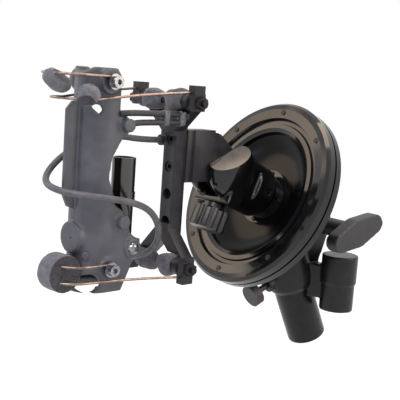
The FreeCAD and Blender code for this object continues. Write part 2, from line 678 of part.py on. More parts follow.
def lock_knob():
    body = cylinder(KNOB_RADIUS, point(0, -KNOB_START, STEM_REACH), -Y_AXIS, KNOB_LENGTH)
    body = body.makeChamfer(1.5, body.Edges)
    flute = cylinder(KNOB_FLUTE_RADIUS, Vector(), Z_AXIS, KNOB_LENGTH)
    flutes = []
    for k in range(KNOB_FLUTES):
        angle = math.radians(360.0 * k / KNOB_FLUTES)
        reach = KNOB_RADIUS + KNOB_FLUTE_RADIUS / 2
        copy = flute.copy()
        copy.Placement = Placement(
            point(reach * math.cos(angle), -KNOB_START, STEM_REACH + reach * math.sin(angle)),
            Rotation(Z_AXIS, -Y_AXIS))
        flutes.append(copy)
    neck_start = BRIDGE_TOP + BRIDGE_THICKNESS + KNOB_NECK_GAP
    neck = cylinder(KNOB_NECK_RADIUS, point(0, -neck_start, STEM_REACH), -Y_AXIS,
                    KNOB_START + 1 - neck_start)
    hole = cylinder(STUD_RADIUS, point(0, -neck_start, STEM_REACH), -Y_AXIS,
                    KNOB_START + KNOB_LENGTH / 2 - neck_start)
    return body.cut(flutes).fuse(neck).cut(hole).removeSplitter()


# Arm and wire bracket, in the cradle frame
def bar_hole_heights():
    return [HOLE_PITCH, 0.0, -HOLE_PITCH, -2 * HOLE_PITCH]


def bar_screw_holes():
    return [cylinder(HOLE_RADIUS, point(0, 0, z), Y_AXIS, COUNTERBORE_DEPTH + BAR_SCREW_LENGTH)
            for z in bar_hole_heights()[:2]]


def arm_block():
    lobe = (ARM_LOBE_Y, ARM_LOBE_Z)
    body = side_link(lobe, (ARM_AXIS_Y, ARM_AXIS_Z), ARM_LOBE_RADIUS, ARM_EYE_RADIUS,
                     -ARM_HALF, ARM_HALF)
    body = body.fuse(block(-ARM_HALF, ARM_HALF, SPACER_BACK, ARM_LOBE_Y, ARM_LOW, ARM_HIGH))
    pin_hole = x_rod(TILT_PIN_RADIUS + SLIP, ARM_AXIS_Y, ARM_AXIS_Z, -ARM_HALF, ARM_HALF)
    return body.cut([pin_hole] + bar_screw_holes()).removeSplitter()


def spacer_plate():
    plate = block(-ARM_HALF, ARM_HALF, BAR_DEPTH, SPACER_BACK, ARM_LOW, ARM_HIGH)
    return plate.cut(bar_screw_holes())


def fork(rod_z, root_z, side):
    """One arm of the Y, from the bar to the eye round the cross rod."""
    outline = link_outline((0, root_z), (side * (EYE_START + EYE_END) / 2, rod_z), FORK_HALF + 1,
                           FORK_HALF)
    corners = [point(x, FORK_FRONT, z) for x, z in outline]
    arm = Part.Face(Part.makePolygon(corners + corners[:1])).extrude(
        point(0, FORK_BACK - FORK_FRONT, 0))
    inner, outer = (EYE_START, EYE_END) if side > 0 else (-EYE_END, -EYE_START)
    eye = x_rod(EYE_RADIUS, ROD_Y, rod_z, inner, outer)
    bridge = block(inner, outer, ROD_Y, FORK_BACK, rod_z - EYE_RADIUS, rod_z + EYE_RADIUS)
    return arm.fuse([eye, bridge])


def wire_bracket():
    bar = block(-BAR_HALF, BAR_HALF, 0, BAR_DEPTH, BAR_BOTTOM, BAR_TOP)
    arms = [fork(rod_z, root_z, side) for rod_z, root_z in
            ((UPPER_ROD_Z, BAR_TOP - FORK_HALF), (LOWER_ROD_Z, BAR_BOTTOM + FORK_HALF))
            for side in (1, -1)]
    roots = [block(-BAR_HALF, BAR_HALF, FORK_FRONT, BAR_DEPTH, z - FORK_HALF, z + FORK_HALF)
             for z in (BAR_TOP - FORK_HALF, BAR_BOTTOM + FORK_HALF)]
    holes = []
    for z in bar_hole_heights():
        holes.append(cylinder(HOLE_RADIUS, point(0, 0, z), Y_AXIS, BAR_DEPTH))
        holes.append(cylinder(COUNTERBORE_RADIUS, point(0, 0, z), Y_AXIS, COUNTERBORE_DEPTH))
    holes.append(pad_room())
    for rod_z in (UPPER_ROD_Z, LOWER_ROD_Z):
        holes.append(x_rod(ROD_RADIUS + SLIP, ROD_Y, rod_z, -ROD_HALF, ROD_HALF))
    return bar.fuse(arms + roots).cut(holes).removeSplitter()


def pad_room():
    """Space round the foam pads that the forks are relieved for."""
    rooms = []
    for rod_z in (UPPER_ROD_Z, LOWER_ROD_Z):
        room = x_rod(PAD_RADIUS + GAP, ROD_Y, rod_z, PAD_START - GAP, PAD_START + PAD_LENGTH + SLIP)
        rooms += both_sides(room)
    return Part.makeCompound(rooms)


def bracket_screws():
    screws = []
    for z in bar_hole_heights()[:2]:
        screws.append(socket_screw(HOLE_RADIUS - SLIP, BAR_SCREW_LENGTH, COUNTERBORE_RADIUS - 4 * SLIP,
                                   COUNTERBORE_DEPTH - 1, point(0, COUNTERBORE_DEPTH, z), -Y_AXIS))
    return Part.makeCompound(screws)


def cross_rod(rod_z):
    return x_rod(ROD_RADIUS, ROD_Y, rod_z, -ROD_HALF, ROD_HALF)


def foam_pads(rod_z):
    pad = x_rod(PAD_RADIUS, ROD_Y, rod_z, PAD_START, PAD_START + PAD_LENGTH)
    pad = pad.cut(x_rod(ROD_RADIUS + SLIP, ROD_Y, rod_z, PAD_START, PAD_START + PAD_LENGTH))
    return both_sides(pad)


def wire_clamps(rod_z, wire_z):
    """Blocks on the cross rod that grip the outer wire's two ends."""
    low = min(rod_z, wire_z) - CLAMP_OVER
    high = max(rod_z, wire_z) + CLAMP_OVER
    clamp = block(CLAMP_START, CLAMP_START + CLAMP_WIDTH, ROD_Y - CLAMP_HALF_Y, ROD_Y + CLAMP_HALF_Y,
                  low, high)
    clamp = clamp.cut([x_rod(ROD_RADIUS + SLIP, ROD_Y, rod_z, 0, ROD_HALF),
                       outer_wire(rod_z > 0, WIRE_RADIUS + SLIP)])
    return both_sides(clamp)


def rod_nuts():
    nuts = []
    start = CLAMP_START + CLAMP_WIDTH
    for rod_z in (UPPER_ROD_Z, LOWER_ROD_Z):
        nut = hexagon(ROD_NUT_RADIUS, point(start, ROD_Y, rod_z), X_AXIS, ROD_NUT_WIDTH)
        nuts += both_sides(nut.cut(x_rod(ROD_RADIUS + SLIP, ROD_Y, rod_z, start, ROD_HALF)))
    return Part.makeCompound(nuts)


def strap_anchor():
    half = ANCHOR_SIZE / 2
    anchor = block(ANCHOR_X - half, ANCHOR_X + half, FORK_FRONT - ANCHOR_SIZE, FORK_FRONT,
                   ANCHOR_Z - half, ANCHOR_Z + half)
    return anchor.cut([x_rod(PAD_RADIUS + GAP, ROD_Y, UPPER_ROD_Z, 0, ROD_HALF),
                       strap_tail(SLIP)])


def cable_gland():
    gland = cylinder(GLAND_RADIUS, point(GLAND_X, GLAND_START, GLAND_Z), Y_AXIS, GLAND_LENGTH)
    foot = block(GLAND_X, -BAR_HALF, GLAND_START + 2, GLAND_START + GLAND_LENGTH - 1,
                 GLAND_Z - GLAND_RADIUS / 2, GLAND_Z + GLAND_RADIUS / 2)
    return gland.fuse(foot).removeSplitter()


# Cradle, in the cradle frame
def cradle_outline():
    """The wall seen from the side, as (y, z): spine on the left, open edge on the right."""
    return [
        (-99, CRADLE_BOTTOM), (-60, CRADLE_BOTTOM), (-57, -88), (-50, -73), (-45, -66), (-45, -55),
        (-54, -48), (-57, -34), (-70, -26), (-72, -18), (-77, -5), (-75, 10), (-67, 23), (-59, 30),
        (-59, 39), (-69.5, 46), (-69.5, 70), (-74, CRADLE_TOP), (-90, CRADLE_TOP), (-95.5, 71), (-99, 70),
    ]


def cradle_trough():
    depth = 40.0
    outer = cylinder(CRADLE_RADIUS, point(0, CRADLE_Y, CRADLE_BOTTOM), Z_AXIS,
                     CRADLE_TOP - CRADLE_BOTTOM)
    outer = outer.fuse(block(-CRADLE_RADIUS, CRADLE_RADIUS, CRADLE_Y, CRADLE_Y + depth,
                             CRADLE_BOTTOM, CRADLE_TOP))
    shape = outer.common(side_plate(cradle_outline(), -CRADLE_RADIUS, CRADLE_RADIUS))
    lugs = []
    for spot, radius, end in ((UPPER_SCREW, UPPER_LUG_RADIUS, LUG_FACE),
                              (LOWER_SCREW, LOWER_LUG_RADIUS, LUG_FACE),
                              (UPPER_PEG, PEG_RADIUS, PEG_END), (LOWER_PEG, PEG_RADIUS, PEG_END),
                              (BUTTON_SPOT, BUTTON_BOSS_RADIUS, BUTTON_FACE)):
        lugs += both_sides(x_rod(radius, spot[0], spot[1], CRADLE_RADIUS - CRADLE_WALL, end))
    return shape.fuse(lugs)


def cradle_bore():
    inside = CRADLE_RADIUS - CRADLE_WALL
    start = CRADLE_BOTTOM + CRADLE_FLOOR
    height = CRADLE_TOP - start
    bore = cylinder(inside, point(0, CRADLE_Y, start), Z_AXIS, height)
    bore = bore.fuse(block(-inside, inside, CRADLE_Y, 0, start, CRADLE_TOP))
    return bore.fuse(cylinder(CRADLE_FLOOR_HOLE, point(0, CRADLE_Y, CRADLE_BOTTOM), Z_AXIS,
                              CRADLE_FLOOR))


def keel_rib():
    root = CRADLE_Y - CRADLE_RADIUS + CRADLE_WALL / 2
    outline = [(root, RIB_HIGH - 1), (RIB_TIP_Y + 5, RIB_HIGH), (RIB_TIP_Y, RIB_HIGH - 6),
               (RIB_TIP_Y, RIB_LOW + 12), (RIB_TIP_Y + 4, RIB_LOW + 3), (root, RIB_LOW)]
    return side_plate(outline, -RIB_HALF, RIB_HALF)


def cradle_shell():
    pad = cylinder(PAD_BOSS_RADIUS, point(0, PAD_BOSS_FACE, PAD_BOSS_Z), Y_AXIS,
                   CRADLE_Y - PAD_BOSS_FACE)
    solid = cradle_trough().fuse([keel_rib(), pad])
    reach = 2 * PEG_END
    cuts = [cradle_bore()]
    for spot in (UPPER_SCREW, LOWER_SCREW, BUTTON_SPOT):
        cuts.append(x_rod(SCREW_RADIUS + SLIP, spot[0], spot[1], -PEG_END, PEG_END))
    cuts.append(x_rod(SIGHT_HOLE_RADIUS, SIGHT_HOLE[0], SIGHT_HOLE[1], -PEG_END, PEG_END))
    cuts.append(block(-reach, reach, ARCH_Y - ARCH_HALF, ARCH_Y + ARCH_HALF, ARCH_LOW, ARCH_SPRING))
    cuts.append(x_rod(ARCH_HALF, ARCH_Y, ARCH_SPRING, -reach, reach))
    return solid.cut(cuts).removeSplitter()


def cap_screws(spot):
    shank = HEAD_FACE - (CRADLE_RADIUS - CRADLE_WALL) - WIRE_SEAT
    screw = socket_screw(SCREW_RADIUS, shank, SCREW_HEAD_RADIUS, SCREW_HEAD,
                         point(HEAD_FACE, spot[0], spot[1]), X_AXIS)
    return Part.makeCompound(both_sides(screw))


def wire_washers():
    washers = []
    for spot in (UPPER_SCREW, LOWER_SCREW):
        washer = x_rod(WASHER_RADIUS, spot[0], spot[1], WASHER_FACE, HEAD_FACE)
        washers += both_sides(washer.cut(x_rod(SCREW_RADIUS + SLIP, spot[0], spot[1], 0, HEAD_FACE)))
    return Part.makeCompound(washers)


def button_screws():
    """Round-headed screws through the wall into the connector's saddle."""
    y, z = BUTTON_SPOT
    dome_radius = (BUTTON_RADIUS ** 2 + BUTTON_HEIGHT ** 2) / (2 * BUTTON_HEIGHT)
    dome = Part.makeSphere(dome_radius, point(BUTTON_FACE + BUTTON_HEIGHT - dome_radius, y, z))
    dome = dome.common(x_rod(BUTTON_RADIUS, y, z, BUTTON_FACE, BUTTON_FACE + BUTTON_HEIGHT))
    shank = x_rod(SCREW_RADIUS, y, z, CRADLE_RADIUS - CRADLE_WALL - 3, BUTTON_FACE)
    key = hexagon(SOCKET_RADIUS, point(BUTTON_FACE + BUTTON_HEIGHT - SOCKET_DEPTH, y, z), X_AXIS,
                  BUTTON_HEIGHT)
    return Part.makeCompound(both_sides(dome.fuse(shank).cut(key)))


# Suspension wires, in the cradle frame
def hairpin(radius, half, bend_y, tip_z, end_x, end_y, end_z):
    """Wire with a round bend at its tip and two straight legs tangent to it, all in one plane."""
    centre = point(0, bend_y, tip_z)
    lean = Vector(0, end_y - bend_y, end_z - tip_z)
    along = Vector(lean).normalize()
    reach = math.hypot(end_x, lean.Length)
    turn = math.atan2(lean.Length, end_x) - math.acos(half / reach)
    lift = along * (half * math.sin(turn))
    near = centre + X_AXIS * (half * math.cos(turn)) + lift
    far = centre - X_AXIS * (half * math.cos(turn)) + lift
    near_end, far_end = point(end_x, end_y, end_z), point(-end_x, end_y, end_z)
    path = Part.Wire([Part.makeLine(near_end, near),
                      Part.Arc(near, centre - along * half, far).toShape(),
                      Part.makeLine(far, far_end)])
    section = Part.Wire(Part.makeCircle(radius, near_end, near - near_end))
    return path.makePipeShell([section], True, True)


def inner_wire(upper, radius):
    spot = UPPER_SCREW if upper else LOWER_SCREW
    bend_y = INNER_UPPER_BEND_Y if upper else INNER_LOWER_BEND_Y
    height = spot[1] + WIRE_OVER_SCREW
    return hairpin(radius, WIRE_X, bend_y, height, WIRE_X, spot[0] + SCREW_HEAD_RADIUS, height)


def outer_wire(upper, radius):
    if upper:
        return hairpin(radius, OUTER_HALF, OUTER_UPPER_BEND_Y, OUTER_UPPER_TIP_Z,
                       OUTER_END_X, OUTER_END_Y, OUTER_UPPER_END_Z)
    return hairpin(radius, OUTER_HALF, OUTER_LOWER_BEND_Y, OUTER_LOWER_TIP_Z,
                   OUTER_END_X, OUTER_END_Y, OUTER_LOWER_END_Z)


def upper_foam_roll():
    roll = x_rod(FOAM_UPPER_RADIUS, FOAM_UPPER[0], FOAM_UPPER[1], -FOAM_HALF, FOAM_HALF)
    return roll.cut(inner_wire(True, WIRE_RADIUS + SLIP))


def lower_foam_roll():
    """Roll over the wires' bends, hollowed where it bears on the cradle."""
    roll = x_rod(FOAM_LOWER_RADIUS, FOAM_LOWER[0], FOAM_LOWER[1],
                 FOAM_LOWER_SHIFT - FOAM_HALF, FOAM_LOWER_SHIFT + FOAM_HALF)
    cradle = cylinder(CRADLE_RADIUS + SLIP, point(0, CRADLE_Y, CRADLE_BOTTOM), Z_AXIS,
                      CRADLE_TOP - CRADLE_BOTTOM)
    pad = cylinder(PAD_BOSS_RADIUS + SLIP, point(0, PAD_BOSS_FACE - SLIP, PAD_BOSS_Z), Y_AXIS,
                   CRADLE_Y - PAD_BOSS_FACE)
    return roll.cut([inner_wire(False, WIRE_RADIUS + SLIP), outer_wire(False, WIRE_RADIUS + GAP),
                     cradle, pad])


def side_foam_roll():
    x = OUTER_HALF
    roll = cylinder(SIDE_FOAM_RADIUS, point(x, SIDE_FOAM_Y - SIDE_FOAM_HALF, SIDE_FOAM_Z), Y_AXIS,
                    2 * SIDE_FOAM_HALF)
    return roll.cut(outer_wire(True, WIRE_RADIUS + GAP))


# Connector and its saddle, in the cradle frame
def connector_round(radius, low, high):
    return cylinder(radius, point(CONNECTOR_X, CONNECTOR_Y, low), Z_AXIS, high - low)


def connector_shell():
    shell = connector_round(SHELL_RADIUS, SHELL_BOTTOM, SHELL_TOP)
    return shell.cut(connector_round(SHELL_BORE, SHELL_BOTTOM + 2, SHELL_TOP))


def contact_solids(radius):
    solids = []
    for k in range(CONTACTS):
        angle = math.radians(360.0 * k / CONTACTS)
        solids.append(cylinder(radius, point(
            CONNECTOR_X + CONTACT_CIRCLE * math.cos(angle),
            CONNECTOR_Y + CONTACT_CIRCLE * math.sin(angle), INSERT_TOP - CONTACT_LENGTH / 2),
            Z_AXIS, CONTACT_LENGTH))
    return solids


def connector_insert():
    insert = connector_round(SHELL_BORE - SLIP, SHELL_BOTTOM + 2, INSERT_TOP)
    return insert.cut(contact_solids(CONTACT_RADIUS + SLIP))


def connector_contacts():
    return Part.makeCompound(contact_solids(CONTACT_RADIUS))


def lock_ring():
    ring = connector_round(RING_RADIUS, SHELL_BOTTOM - RING_HEIGHT, SHELL_BOTTOM)
    grooves = []
    for k in (1, 2):
        middle = SHELL_BOTTOM - RING_HEIGHT * k / 3
        groove = connector_round(RING_RADIUS + 1, middle - 0.4, middle + 0.4)
        grooves.append(groove.cut(connector_round(RING_RADIUS - 0.6, middle - 1, middle + 1)))
    return ring.cut(grooves)


def rear_shell():
    return connector_round(REAR_SHELL_RADIUS, REAR_SHELL_BOTTOM, SHELL_BOTTOM - RING_HEIGHT)


def connector_boot():
    boot = connector_round(BOOT_RADIUS, BOOT_BOTTOM, REAR_SHELL_BOTTOM)
    stub = cylinder(BOOT_STUB_RADIUS, point(CONNECTOR_X, CONNECTOR_Y, BOOT_STUB_Z), Y_AXIS,
                    BOOT_STUB_END - CONNECTOR_Y)
    return boot.fuse(stub).removeSplitter()


def connector_saddle():
    """Block between the cradle's walls that grips the connector's boot."""
    inside = CRADLE_RADIUS - CRADLE_WALL
    saddle = block(-inside, inside, SADDLE_BACK, SADDLE_FRONT, SADDLE_LOW, SADDLE_HIGH)
    y, z = BUTTON_SPOT
    return saddle.cut([connector_round(BOOT_RADIUS + SLIP, SADDLE_LOW, SADDLE_HIGH),
                       x_rod(SCREW_RADIUS + SLIP, y, z, inside - 3, inside),
                       x_rod(SCREW_RADIUS + SLIP, y, z, -inside, 3 - inside)])


# Strap, in the cradle frame
def strap_tail(extra):
    half = STRAP_THICKNESS + extra
    return block(STRAP_X - extra, STRAP_X + STRAP_WIDTH + extra, STRAP_SLIDER_Y,
                 FORK_FRONT - ANCHOR_SIZE / 2 + extra, STRAP_SLIDER_Z - half, STRAP_SLIDER_Z + half)


def safety_strap():
    """Flat band round the cradle's peg, doubled from its slider to the bracket."""
    y, z = UPPER_PEG
    inner = PEG_RADIUS + SLIP
    outer = inner + STRAP_THICKNESS
    end = STRAP_X + STRAP_WIDTH
    slider = (STRAP_SLIDER_Y, STRAP_SLIDER_Z)
    loop = side_link((y, z), slider, outer, 2 * STRAP_THICKNESS, STRAP_X, end)
    loop = loop.cut(side_link((y, z), slider, inner, STRAP_THICKNESS, STRAP_X, end))
    return loop.fuse(strap_tail(0)).removeSplitter()


def slider_block():
    half = STRAP_SLIDER_SIZE / 2
    return block(STRAP_X - 1.5, STRAP_X + STRAP_WIDTH + 1.5, STRAP_SLIDER_Y - half,
                 STRAP_SLIDER_Y + half, STRAP_SLIDER_Z - half - 1.5, STRAP_SLIDER_Z + half + 1.5).cut(
                     safety_strap())


# Microphone lead, in the cradle frame
def lead_path(route):
    """Straight runs joined by tangent arcs; returns the wire, its length and the arc radii."""
    corners = [point(*spot) for spot in route]
    edges = []
    radii = []
    start = corners[0]
    for before, corner, after in zip(corners, corners[1:], corners[2:]):
        back = before - corner
        ahead = after - corner
        shorter = min(back.Length, ahead.Length)
        turn = math.pi - back.getAngle(ahead)
        radius = 0.45 * shorter / math.tan(turn / 2)
        back.normalize()
        ahead.normalize()
        enter = corner + back * (0.45 * shorter)
        leave = corner + ahead * (0.45 * shorter)
        bisector = back + ahead
        bisector.normalize()
        top = corner + bisector * (radius / math.cos(turn / 2) - radius)
        edges.append(Part.makeLine(start, enter))
        edges.append(Part.Arc(enter, top, leave).toShape())
        radii.append(radius)
        start = leave
    edges.append(Part.makeLine(start, corners[-1]))
    wire = Part.Wire(edges)
    return wire, wire.Length, radii


def mic_cable():
    wire, length, radii = lead_path(CABLE_ROUTE)
    first = point(*CABLE_ROUTE[1]) - point(*CABLE_ROUTE[0])
    circle = Part.Wire([Part.makeCircle(CABLE_RADIUS, point(*CABLE_ROUTE[0]), first)])
    cable = wire.makePipeShell([circle], True, True)
    print("cable length %.1f mm, radii %s" % (length, [round(r, 1) for r in radii]))
    print("cable volume %.0f, section times length %.0f" % (
        cable.Volume, math.pi * CABLE_RADIUS ** 2 * length))
    return cable


def sub_parts():
    """Every node with its solid and the frame it is drawn in."""
    nodes = {
        "pole_tube": (pole_tube(), ON_CLAMP),
        "pole_stop": (pole_stop(), ON_CLAMP),
        "clamp_casting": (clamp_casting(), REAR),
        "thread_bush": (thread_bush(), REAR),
        "thumb_screw": (thumb_screw(), ON_CLAMP),
        "pivot_bolt": (pivot_bolt(), REAR),
        "pivot_nut": (pivot_nut(), REAR),
        "friction_discs": (friction_discs(), REAR),
        "wing_knob": (wing_knob(), REAR),
        "front_ring": (front_ring(), ON_DISH),
        "rim_screws": (rim_screws(), ON_DISH),
        "ring_gasket": (ring_gasket(), ON_DISH),
        "rear_ring": (rear_ring(), ON_DISH),
        "dish_cup": (dish_cup(), ON_DISH),
        "hub_flange": (hub_flange(), ON_DISH),
        "hub_screws": (hub_screws(), ON_DISH),
        "tilt_lug": (tilt_lug(), ON_DISH),
        "lug_screws": (lug_screws(), ON_DISH),
        "swivel_stem": (swivel_stem(), ON_DISH),
        "swivel_housing": (swivel_housing(), ON_SWIVEL),
        "set_screw": (set_screw(), ON_DISH),
        "tilt_pin": (tilt_pin(), ON_SWIVEL),
        "lock_stud": (lock_stud(), ON_SWIVEL),
        "lock_knob": (lock_knob(), ON_SWIVEL),
        "arm_block": (arm_block(), FRONT),
        "spacer_plate": (spacer_plate(), FRONT),
        "wire_bracket": (wire_bracket(), FRONT),
        "bracket_screws": (bracket_screws(), FRONT),
        "rod_nuts": (rod_nuts(), FRONT),
        "strap_anchor": (strap_anchor(), FRONT),
        "strap_slider": (slider_block(), FRONT),
        "safety_strap": (safety_strap(), FRONT),
        "cable_gland": (cable_gland(), FRONT),
        "mic_cable": (mic_cable(), FRONT),
        "cradle_shell": (cradle_shell(), FRONT),
        "upper_cap_screws": (cap_screws(UPPER_SCREW), FRONT),
        "lower_cap_screws": (cap_screws(LOWER_SCREW), FRONT),
        "wire_washers": (wire_washers(), FRONT),
        "button_screws": (button_screws(), FRONT),
        "upper_inner_wire": (inner_wire(True, WIRE_RADIUS), FRONT),
        "lower_inner_wire": (inner_wire(False, WIRE_RADIUS), FRONT),
        "upper_outer_wire": (outer_wire(True, WIRE_RADIUS), FRONT),
        "lower_outer_wire": (outer_wire(False, WIRE_RADIUS), FRONT),
        "upper_foam_roll": (upper_foam_roll(), FRONT),
        "lower_foam_roll": (lower_foam_roll(), FRONT),
        "side_foam_roll": (side_foam_roll(), FRONT),
        "connector_shell": (connector_shell(), FRONT),
        "connector_insert": (connector_insert(), FRONT),
        "connector_contacts": (connector_contacts(), FRONT),
        "lock_ring": (lock_ring(), FRONT),
        "rear_shell": (rear_shell(), FRONT),
        "connector_boot": (connector_boot(), FRONT),
        "connector_saddle": (connector_saddle(), FRONT),
    }
    for level, rod_z, wire_z in (("upper", UPPER_ROD_Z, OUTER_UPPER_END_Z),
                                 ("lower", LOWER_ROD_Z, OUTER_LOWER_END_Z)):
        nodes[level + "_cross_rod"] = (cross_rod(rod_z), FRONT)
        nodes[level + "_foam_pads"] = (Part.makeCompound(foam_pads(rod_z)), FRONT)
        nodes[level + "_wire_clamps"] = (Part.makeCompound(wire_clamps(rod_z, wire_z)), FRONT)
    return nodes


os.makedirs("parts", exist_ok=True)
for name, (shape, frame) in sub_parts().items():
    placed = Part.makeCompound([shape.copy()])
    placed.Placement = frame
    solids = placed.Solids
    print("%-20s solids %d valid %s volume %.0f" % (name, len(solids), placed.isValid(), placed.Volume))
    result = solids[0] if len(solids) == 1 else Part.makeCompound(solids)
    result.exportStep("parts/" + name + ".step")
print("arm centre", ARM_CENTRE, "bar datum", FRONT.Base)
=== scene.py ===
import json
import math

import bmesh
import bpy
from mathutils import Matrix, Vector, noise


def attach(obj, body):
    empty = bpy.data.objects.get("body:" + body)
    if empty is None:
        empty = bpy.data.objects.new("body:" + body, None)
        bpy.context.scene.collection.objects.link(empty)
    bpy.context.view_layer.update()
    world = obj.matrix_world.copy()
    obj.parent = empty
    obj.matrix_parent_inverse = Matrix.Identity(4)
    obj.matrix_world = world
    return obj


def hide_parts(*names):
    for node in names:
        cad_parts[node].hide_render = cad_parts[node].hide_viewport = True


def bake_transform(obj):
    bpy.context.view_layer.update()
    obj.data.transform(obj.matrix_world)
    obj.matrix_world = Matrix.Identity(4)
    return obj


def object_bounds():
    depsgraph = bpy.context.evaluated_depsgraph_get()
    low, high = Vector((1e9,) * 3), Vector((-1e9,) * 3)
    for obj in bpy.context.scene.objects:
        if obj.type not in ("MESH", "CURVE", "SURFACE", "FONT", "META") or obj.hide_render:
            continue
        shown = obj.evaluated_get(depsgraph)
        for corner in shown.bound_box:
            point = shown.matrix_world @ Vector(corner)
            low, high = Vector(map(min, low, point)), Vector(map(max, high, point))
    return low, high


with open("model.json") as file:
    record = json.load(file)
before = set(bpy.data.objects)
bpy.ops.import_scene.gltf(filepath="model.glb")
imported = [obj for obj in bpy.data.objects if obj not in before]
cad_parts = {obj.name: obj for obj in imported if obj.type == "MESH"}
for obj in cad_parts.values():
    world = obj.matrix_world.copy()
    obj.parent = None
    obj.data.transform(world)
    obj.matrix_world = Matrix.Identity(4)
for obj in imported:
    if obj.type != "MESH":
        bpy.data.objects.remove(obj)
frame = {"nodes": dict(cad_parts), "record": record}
CAD_BOX = [list(corner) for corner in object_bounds()]
NODES = frame["nodes"]
SLOT_OF = {row["node"]: row["material_slot"] for row in frame["record"]["subparts"]}
BODY_OF = {node: body for body, nodes in frame["record"]["behaviour"]["bodies"].items() for node in nodes}

MM = 0.001
SHARP_ANGLE = math.radians(40)

# Zero of the cradle's own measures: the bar's front face at its second hole
BAR_HOLES = next(m for m in frame["record"]["mounts"] if m["name"] == "bar_holes")
BAR_ZERO = Vector(BAR_HOLES["pos_m"]) - Vector((0, 8.5, -34.5)) * MM

# Camera, measured from that zero
CAMERA_AZIMUTH = 45.0
CAMERA_ELEVATION = 8.0
CAMERA_ROLL = 4.0
CAMERA_DISTANCE = 0.700
PHOTO_SIZE = 400
FOCAL_PIXELS = 843.0
SENSOR_MM = 36.0
BAR_ZERO_PIXEL = (168.6, 166.4)


def spot(x, y, z):
    """A point given in millimetres from the bar's zero."""
    return BAR_ZERO + Vector((x, y, z)) * MM


def camera_axes():
    """The picture's right and up, and the way back from the object to the camera."""
    azimuth = math.radians(CAMERA_AZIMUTH)
    elevation = math.radians(CAMERA_ELEVATION)
    roll = math.radians(CAMERA_ROLL)
    back = Vector((math.sin(azimuth) * math.cos(elevation), -math.cos(azimuth) * math.cos(elevation),
                   math.sin(elevation)))
    level = Vector((math.cos(azimuth), math.sin(azimuth), 0))
    upright = back.cross(level)
    right = level * math.cos(roll) + upright * math.sin(roll)
    up = upright * math.cos(roll) - level * math.sin(roll)
    return right, up, back


def add_camera():
    """The camera that puts the bar's zero on its place in the picture."""
    right, up, back = camera_axes()
    across = (BAR_ZERO_PIXEL[0] - PHOTO_SIZE / 2) / FOCAL_PIXELS * CAMERA_DISTANCE
    above = (PHOTO_SIZE / 2 - BAR_ZERO_PIXEL[1]) / FOCAL_PIXELS * CAMERA_DISTANCE
    place = BAR_ZERO - right * across - up * above + back * CAMERA_DISTANCE
    data = bpy.data.cameras.new("camera")
    data.sensor_fit = "HORIZONTAL"
    data.sensor_width = SENSOR_MM
    data.lens = FOCAL_PIXELS / PHOTO_SIZE * SENSOR_MM
    camera = bpy.data.objects.new("camera", data)
    camera.matrix_world = Matrix.Translation(place) @ Matrix((right, up, back)).transposed().to_4x4()
    bpy.context.collection.objects.link(camera)
    bpy.context.scene.camera = camera
    return camera


# Colours and material nodes
def linear(hex_colour):
    """sRGB hex to a linear colour with alpha."""
    values = [int(hex_colour[k:k + 2], 16) / 255 for k in (1, 3, 5)]
    return [v / 12.92 if v <= 0.04045 else ((v + 0.055) / 1.055) ** 2.4 for v in values] + [1.0]


def add_node(tree, kind, settings=(), inputs=(), links=()):
    """A node with its settings, its input values and its links: (input name, other node, output)."""
    node = tree.nodes.new(kind)
    for key, value in dict(settings).items():
        setattr(node, key, value)
    for key, value in dict(inputs).items():
        node.inputs[key].default_value = value
    for key, other, output in links:
        tree.links.new(other.outputs[output], node.inputs[key])
    return node


def new_material(name, colour, roughness, metallic=0.0, ior=1.5):
    """A Principled material, with its tree and its shader for the pattern nodes."""
    material = bpy.data.materials.new(name)
    material.use_nodes = True
    shader = material.node_tree.nodes["Principled BSDF"]
    shader.inputs["Base Color"].default_value = linear(colour)
    shader.inputs["Roughness"].default_value = roughness
    shader.inputs["Metallic"].default_value = metallic
    shader.inputs["IOR"].default_value = ior
    return material, material.node_tree, shader


def place_in_mm(tree):
    """Object coordinates in millimetres, so that a pattern's scale is one over its real size."""
    coordinates = add_node(tree, "ShaderNodeTexCoord")
    return add_node(tree, "ShaderNodeVectorMath", {"operation": "SCALE"}, {"Scale": 1000.0},
                    [(0, coordinates, "Object")])


def grain(tree, place, size_mm, detail=3.0, roughness=0.55):
    """Noise with grains of about the given size."""
    return add_node(tree, "ShaderNodeTexNoise", {}, {"Scale": 1.0 / size_mm, "Detail": detail,
                                                       "Roughness": roughness}, [("Vector", place, 0)])


def spread(tree, source, low, high, output="Fac"):
    """Maps a pattern's middle range to values from low to high."""
    return add_node(tree, "ShaderNodeMapRange", {}, {"From Min": 0.3, "From Max": 0.7, "To Min": low,
                                                       "To Max": high}, [("Value", source, output)])


def roughened(tree, shader, source, low, high):
    """Roughness that drifts with a pattern."""
    sheen = spread(tree, source, low, high)
    tree.links.new(sheen.outputs[0], shader.inputs["Roughness"])


def tinted(tree, shader, source, dark, light, output="Fac"):
    """Base colour that drifts between two shades with a pattern."""
    ramp = add_node(tree, "ShaderNodeValToRGB", {}, {}, [("Fac", source, output)])
    ramp.color_ramp.elements[0].position = 0.32
    ramp.color_ramp.elements[0].color = linear(dark)
    ramp.color_ramp.elements[1].position = 0.68
    ramp.color_ramp.elements[1].color = linear(light)
    tree.links.new(ramp.outputs["Color"], shader.inputs["Base Color"])
    return ramp


def bumped(tree, shader, source, strength, depth_mm, output="Fac"):
    """Surface relief from a pattern."""
    bump = add_node(tree, "ShaderNodeBump", {}, {"Strength": strength, "Distance": depth_mm * MM},
                    [("Height", source, output)])
    tree.links.new(bump.outputs["Normal"], shader.inputs["Normal"])
    return bump


